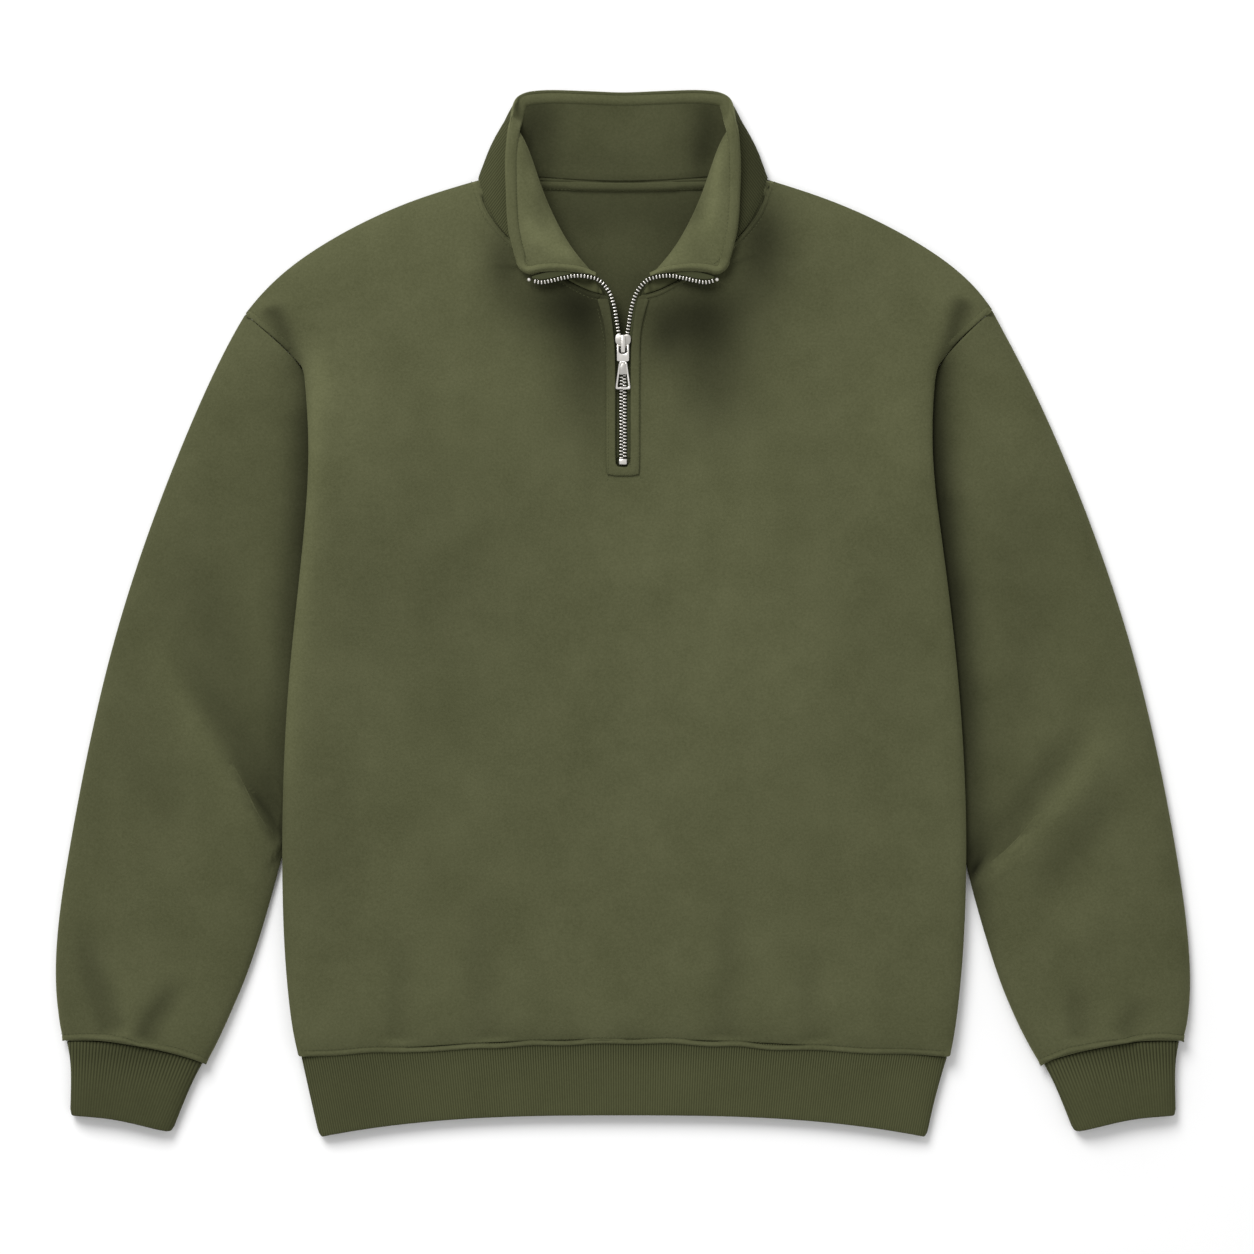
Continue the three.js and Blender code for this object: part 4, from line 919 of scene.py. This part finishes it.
# the lips of the two elbow folds
foldLips = {
    "sleeve_left": [(-299, -98), (-290.4, -114), (-282, -131), (-273.6, -148), (-265, -161),
                    (-256.4, -170.4)],
    "sleeve_right": [(318, -139), (308, -152), (299, -164), (287, -176.4), (275, -186), (265, -194)],
}
lipShape = [(13, -1.4), (9, -0.2), (5, 0.8), (2, 1.5), (0.6, 1.5), (0, 0.7), (-0.3, -1.2)]
lipMaking = {"step": 2, "thick": 0.6, "taper": 0.45, "calm": 4}
threadLook = {"colour": (0.075, 0.08, 0.038), "roughness": 0.8}
thread = plainMaterial("thread", **threadLook)
weltShapes = {
    "hem": [(-0.2, -0.4), (0.1, 0.5), (0.8, 1.15), (1.8, 1.35), (2.9, 1.1), (3.7, 0.4), (4.1, -0.5)],
    "arm": [(-0.1, -0.5), (0.2, 0.5), (0.9, 1.05), (2.2, 1.15), (3.4, 1.0), (4.3, 0.5), (4.9, -0.35)],
    "neck": [(-3.6, -1.2), (-2.6, -0.1), (-0.6, 0.4), (0.9, 0.9), (1.9, 1.0), (2.8, 0.7), (3.5, -0.3)],
    "tapeUpper": [(-1.6, -0.9), (-1.2, 0.5), (-0.2, 1.1), (0.8, 1.1), (1.6, 0.6), (2, -0.9)],
    "tapeLower": [(-8.6, -0.9), (-8.2, 0.7), (-7.2, 1.7), (-5.2, 2), (-3.4, 1.6), (-2.4, 0.6), (-2, -0.6)],
    "collar": [(-1.7, -2.8), (-1.1, -0.8), (0.1, 0.2), (0.9, 1.2), (2.4, 1.8), (4.4, 1.9), (6.2, 1.5),
               (7.6, 0.7), (8.4, -0.3)],
}


def turned(profile):
    return [(-side, rise) for side, rise in reversed(profile)]


sewing = {
    # seam: the welt's profile and taper, the cloth under it, how far beside the seam the stitches run
    "hem": (weltShapes["hem"], weltMaking["taper"], ["front_panel"], 4.9),
    "cuff_left": (weltShapes["hem"], weltMaking["taper"], ["sleeve_left"], 4.8),
    "cuff_right": (weltShapes["hem"], weltMaking["taper"], ["sleeve_right"], 4.8),
    "arm_left": (weltShapes["arm"], 0.08, ["front_panel"], 4.7),
    "arm_right": (turned(weltShapes["arm"]), 0.08, ["front_panel"], -4.7),
    "neck_left": (turned(weltShapes["neck"]), weltMaking["taper"], ["front_panel", "collar_outer"], -3.9),
    "neck_right": (weltShapes["neck"], weltMaking["taper"], ["front_panel", "collar_outer"], 3.9),
}
for seam, (profile, taper, under, _) in sewing.items():
    welt(f"{seam}_welt", seams[seam], profile, under, fleece, "fleece", taper=taper)
collarRoll = {
    "line": [*collarEdge, *[(0.9 - x, y) for x, y in collarEdge[-2::-1]]],
    "widths": [(0, 0.3), (0.03, 0.5), (0.1, 0.62), (0.125, 1), (0.875, 1), (0.9, 0.62), (0.97, 0.5),
               (1, 0.3)],
    "making": {"step": 1.3, "taper": 0.03, "reach": 4, "calm": 10}, "stitches": 8.1,
    "litFront": 0.32, "frontRise": (256, 270), "litRight": 0.1, "rightAcross": (70, 84),
}
welt("collar_band", collarRoll["line"], weltShapes["collar"], ["collar_inner", "collar_outer"], facing,
     "facing", narrow=collarRoll["widths"], **collarRoll["making"])
# the tape's rolls carry a painted shade
neckTape = {"line": [(-74, 327.6), (-40, 326.8), (0.4, 326.2), (41, 326.8), (75, 327.6)], "nap_and_painted_light": 0.66,
            "upper": ("tapeUpper", 0.4), "lower": ("tapeLower", -7.6)}
for edge in ("upper", "lower"):
    shape, _ = neckTape[edge]
    roll = welt(f"neck_tape_{edge}_roll", neckTape["line"], weltShapes[shape], ["neck_tape", "back_panel"],
                facing, "facing")
    setPaintedLight(roll, neckTape["nap_and_painted_light"])
for seam in ("neck_left", "neck_right", "arm_left", "arm_right"):
    matchPaintedLight(pieces[f"{seam}_welt"], front)
for node, path in foldLips.items():
    profile = turned(lipShape) if node == "sleeve_left" else lipShape
    lip = welt(f"{node}_fold", path, profile, [node], fleece, "fleece", **lipMaking)
    matchPaintedLight(lip, pieces[node])
# painted light on the band's lower front and on its right side
x, y, _ = coordinates(pieces["collar_band"]).T / millimetre
lit = collarRoll["litFront"] * (1 - ease(y, *collarRoll["frontRise"]))
setPaintedLight(pieces["collar_band"], 1 + (lit + collarRoll["litRight"] * ease(x, *collarRoll["rightAcross"])))
for seam, (_, _, under, beside) in sewing.items():
    stitchRow(f"{seam}_stitches", seams[seam], beside, under[:1])
collarMiddle = collarRoll["line"][6:-6]
stitchRow("collar_stitches", collarMiddle, collarRoll["stitches"], ["collar_inner", "collar_band"])
placketLine = [(-18.2, 228), (-12.9, 200), (-10.6, 170), (-10.6, 105.6), (-10, 104.9), (11.9, 104.9),
               (12.4, 105.6), (12.4, 170), (13.8, 200), (19.1, 228)]
stitchRow("placket_stitches", placketLine, 0, ["zip_placket", "front_panel"])
for edge in ("upper", "lower"):
    stitchRow(f"neck_tape_{edge}_stitches", neckTape["line"], neckTape[edge][1], [f"neck_tape_{edge}_roll"])
print("stage: seams and stitches")

# the zip, in millimetres; its line is the right side's, mirrored for the left
zipParts = {
    "pitch": 2.5, "tooth": (2.7, 0.95, 1.6), "toothMiddle": 0.95, "bevel": 0.22, "sharp": 40,
    "cordMiddle": 0.35, "cordShape": [(-1.5, -0.4), (-1.5, 0.3), (0, 0.5), (1.5, 0.3), (1.5, -0.4)],
}
zipMiddle = 0.45
zipLine = [(1.3, 117.4), (1.3, 158), (1.3, 200), (3.2, 210.2), (4.4, 217.6), (5.7, 226.3), (7.4, 233.8),
           (9.7, 240.2), (13, 245.4), (17, 249.4), (20.6, 251.4), (25, 252.3), (29.4, 253), (37, 253.1),
           (45.1, 251.5), (54, 249.4), (61.4, 248.3), (67, 249.4)]


def zipPath(node, side):
    # four points to each tooth of a row, and the evened height of the plain rail's underside there
    path = evenly([(x * side + zipMiddle, y) for x, y in zipLine], zipParts["pitch"] / 4)
    rail = coordinates(nodes[node])
    lows = []
    for spot in path:
        away = np.hypot(rail[:, 0] - mm(spot.x), rail[:, 1] - mm(spot.y))
        lows.append(rail[np.argsort(away)[:8], 2].min())
    return path, calmed(np.array(lows), 10)


def makeTeeth(name, node, side, first):
    # one row of metal teeth, each standing across the tape's edge
    path, low = (values[first::4] for values in zipPath(node, side))
    size = Matrix.Diagonal([*[mm(length) for length in zipParts["tooth"]], 1])
    bm = bmesh.new()
    for row, spot in enumerate(path):
        way = path[min(row + 1, len(path) - 1)] - path[max(row - 1, 0)]
        turn = Vector((way.x, way.y, 0)).to_track_quat("Y", "Z").to_matrix().to_4x4()
        place = Matrix.Translation((mm(spot.x), mm(spot.y), low[row] + mm(zipParts["toothMiddle"])))
        bmesh.ops.create_cube(bm, size=1, matrix=place @ turn @ size)
    bmesh.ops.bevel(bm, geom=bm.edges[:], offset=mm(zipParts["bevel"]), affect="EDGES", segments=2,
                    profile=0.5, material=-1)
    piece = newPiece(name, bm, [nickel])
    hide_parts(node)
    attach(piece, "garment")


bottomStop = {"weld": 0.01, "flat": 2, "sharp": 35, "round": 0.5}


def makeBottomStop():
    # the plain block with its edges rounded over
    bm = bmesh.new()
    bm.from_mesh(nodes["zip_bottom_stop"].data)
    bmesh.ops.remove_doubles(bm, verts=bm.verts, dist=mm(bottomStop["weld"]))
    flat = math.radians(bottomStop["flat"])
    bmesh.ops.dissolve_limit(bm, angle_limit=flat, verts=bm.verts, edges=bm.edges)
    bmesh.ops.bevel(bm, geom=sharpEdges(bm, bottomStop["sharp"]), offset=mm(bottomStop["round"]),
                    affect="EDGES", segments=2, profile=0.5, material=-1, clamp_overlap=True)
    piece = newPiece("zip_bottom_stop_block", bm, [nickel])
    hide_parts("zip_bottom_stop")
    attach(piece, "garment")


def joinRings(bm, rings):
    for a, b in zip(rings, rings[1:]):
        for k in range(len(a)):
            n = (k + 1) % len(a)
            bm.faces.new((a[k], a[n], b[n], b[k]))


def makeCord(name, node, side):
    # the dark cord woven into the tape's edge, which the teeth grip
    path, low = zipPath(node, side)
    bm = bmesh.new()
    rings = []
    for row, spot in enumerate(path):
        across = sideways(path, row)
        middle = low[row] + mm(zipParts["cordMiddle"])
        rings.append([bm.verts.new((mm(spot.x + across.x * u), mm(spot.y + across.y * u), middle + mm(v)))
                      for u, v in zipParts["cordShape"]])
    joinRings(bm, rings)
    bm.faces.new(rings[0])
    bm.faces.new(rings[-1][::-1])
    bmesh.ops.recalc_face_normals(bm, faces=bm.faces)
    piece = newPiece(name, bm, [cordCloth])
    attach(piece, "garment")
    return piece


cordLook = {"colour": (0.022, 0.024, 0.012), "roughness": 0.85}
cordCloth = plainMaterial("zipCord", **cordLook)
cords = [makeCord("zip_cord_left", "zip_teeth_left", -1), makeCord("zip_cord_right", "zip_teeth_right", 1)]
makeTeeth("zip_teeth_left_row", "zip_teeth_left", -1, 0)
makeTeeth("zip_teeth_right_row", "zip_teeth_right", 1, 2)


def rounded(bm, width):
    bmesh.ops.bevel(bm, geom=sharpEdges(bm, zipParts["sharp"]), offset=mm(width), affect="EDGES", segments=2,
                    profile=0.5, material=-1)


def mirrored(half):
    # a whole outline from its half, given from the top down
    return [*half, *[(-x, y) for x, y in reversed(half)]]


def hardPiece(name, bm, material, body, node=None):
    bmesh.ops.recalc_face_normals(bm, faces=bm.faces)
    piece = newPiece(name, bm, [material])
    if node:
        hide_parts(node)
    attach(piece, body)
    return piece


def slab(name, half, low, high, width, material, body, node=None):
    # a flat piece between two heights
    bm = bmesh.new()
    top = [bm.verts.new((mm(zipMiddle + x), mm(y), mm(high))) for x, y in mirrored(half)]
    face = bm.faces.new(top)
    extruded = bmesh.ops.extrude_face_region(bm, geom=[face])
    for vert in extruded["geom"]:
        if isinstance(vert, bmesh.types.BMVert):
            vert.co.z = mm(low)
    rounded(bm, width)
    return hardPiece(name, bm, material, body, node)


def frameRing(name, outer, inner, low, high, width, material, body):
    # a closed rim: two outlines with the same number of corners
    bm = bmesh.new()
    rings = [[bm.verts.new((mm(zipMiddle + x), mm(y), mm(z))) for x, y in mirrored(half)]
             for half, z in ((outer, low), (outer, high), (inner, high), (inner, low))]
    joinRings(bm, [*rings, rings[0]])
    rounded(bm, width)
    return hardPiece(name, bm, material, body)


slider = {
    # half outline from the top down, low and high faces, rounding
    "lobes": ([(1.2, 209.4), (2.6, 210), (4.3, 209.8), (5.5, 208.6), (5.95, 206.6), (5.7, 204.2),
               (4.7, 202.3), (3.2, 201.6)], 16.6, 18, 0.45),
    "plate": ([(4.2, 202.6), (4.2, 196.4), (3.4, 195.8)], 15.6, 16.6, 0.3),
    "bridge": ([(1.1, 208.9), (1.6, 208.2), (1.6, 197), (1.2, 196.1)], 17.2, 20.6, 0.6),
}
slab("zip_slider_lobes", *slider["lobes"], plainMetal, "garment", "zip_slider")
# the plate under the bridge is dark, a painted shade
slab("zip_slider_plate", *slider["plate"], shadeMetal, "garment")
slab("zip_slider_bridge", *slider["bridge"], nickel, "garment")
pull = {
    "head": ([(0.4, 195.1), (1.4, 195.2), (2.5, 195.7), (3.1, 196.8), (3.1, 202), (4.5, 202), (4.5, 190.4),
              (4.1, 189.7), (2.5, 189.5), (2.4, 188.4)], 18.3, 19.4, 0.3),
    "web": ([(1.3, 188.4), (2.2, 186.8), (3.2, 179.8)], 18.3, 18.9, 0.1),
    "rimOuter": [(2.3, 189.6), (3.1, 187.6), (5.5, 170.2), (5.3, 169), (4.6, 168.6)],
    "rimInner": [(1.1, 188.6), (2.0, 187), (4.1, 171), (3.9, 170.3), (3.4, 170.1)],
    "rim": (18.1, 19.6, 0.35),
    "pin": {"beside": 2.4, "y": 201.2, "z": 18.67, "radius": 0.42, "long": 1.5},
}
slab("zip_pull_head", *pull["head"], nickel, "pull")
pin = pull["pin"]
bm = bmesh.new()
for side in (-1, 1):
    place = Matrix.Translation((mm(zipMiddle + pin["beside"] * side), mm(pin["y"]), mm(pin["z"])))
    bmesh.ops.create_cone(bm, cap_ends=True, segments=14, radius1=mm(pin["radius"]),
                          radius2=mm(pin["radius"]), depth=mm(pin["long"]),
                          matrix=place @ Matrix.Rotation(math.pi / 2, 4, "Y"))
hardPiece("zip_pull_pin", bm, plainMetal, "pull")
rim = frameRing("zip_pull_rim", pull["rimOuter"], pull["rimInner"], *pull["rim"], nickel, "pull")
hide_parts("zip_pull")
slab("zip_pull_web", *pull["web"], plainMetal, "pull")
makeBottomStop()

# the tapes' joined lower end, behind the bottom stop
tapeFoot = {"y": 114, "top": 15.2, "halfWide": 8.5, "halfLong": 9, "thick": 0.5, "tone": -0.2}
tapeTop = min(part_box("zip_tape_left")[1][2] / millimetre, tapeFoot["top"])
bm = bmesh.new()
place = Matrix.Translation((mm(zipMiddle), mm(tapeFoot["y"]), mm(tapeTop)))
size = Matrix.Diagonal((mm(tapeFoot["halfWide"]), mm(tapeFoot["halfLong"]), 1, 1))
bmesh.ops.create_grid(bm, x_segments=6, y_segments=8, size=1, matrix=place @ size)
tapeEnd = newPiece("zip_tape_end", bm, [zipTape])
body = tapeEnd.modifiers.new("body", "SOLIDIFY")
body.thickness = mm(tapeFoot["thick"])
settle(tapeEnd)
paintShadeAndLight(tapeEnd, np.full(len(tapeEnd.data.vertices), tapeFoot["tone"]))
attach(tapeEnd, "garment")
print("stage: zip")

for node in ("zip_top_stop_left", "zip_top_stop_right"):
    nodes[node].data.materials.clear()
    nodes[node].data.materials.append(nickel)

sheets = {
    # node: flat width and length in metres, flat area, what it lies on, the pieces sewn on it
    "front_panel": ((0.57, 0.67), 0.32, ["back_panel", "sleeve_left", "sleeve_right"],
                    ["hem_welt", "arm_left_welt", "arm_right_welt", "neck_left_welt", "neck_right_welt"]),
    "back_panel": ((0.57, 0.70), 0.30, [], []),
    "sleeve_left": ((0.36, 0.60), 0.155, ["back_panel"], ["cuff_left_welt", "sleeve_left_fold"]),
    "sleeve_right": ((0.36, 0.60), 0.155, ["back_panel"], ["cuff_right_welt", "sleeve_right_fold"]),
    "cuff_left": ((0.20, 0.06), 0.0108, ["sleeve_left"], []),
    "cuff_right": ((0.20, 0.06), 0.0108, ["sleeve_right"], []),
    "hem_band": ((0.97, 0.062), 0.056, ["back_panel"], []),
    "collar_outer": ((0.46, 0.075), 0.029, ["front_panel", "back_panel"], []),
    "collar_inner": ((0.46, 0.078), 0.03, ["collar_outer"], ["collar_band"]),
    "neck_tape": ((0.15, 0.0105), 0.0013, ["back_panel"], ["neck_tape_upper_roll", "neck_tape_lower_roll"]),
    "zip_placket": ((0.036, 0.13), 0.0022, ["front_panel"], ["zip_tape_left", "zip_tape_right"]),
}
for node, (flat, area, under, sewn) in sheets.items():
    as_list(under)
print("stage: sheets")
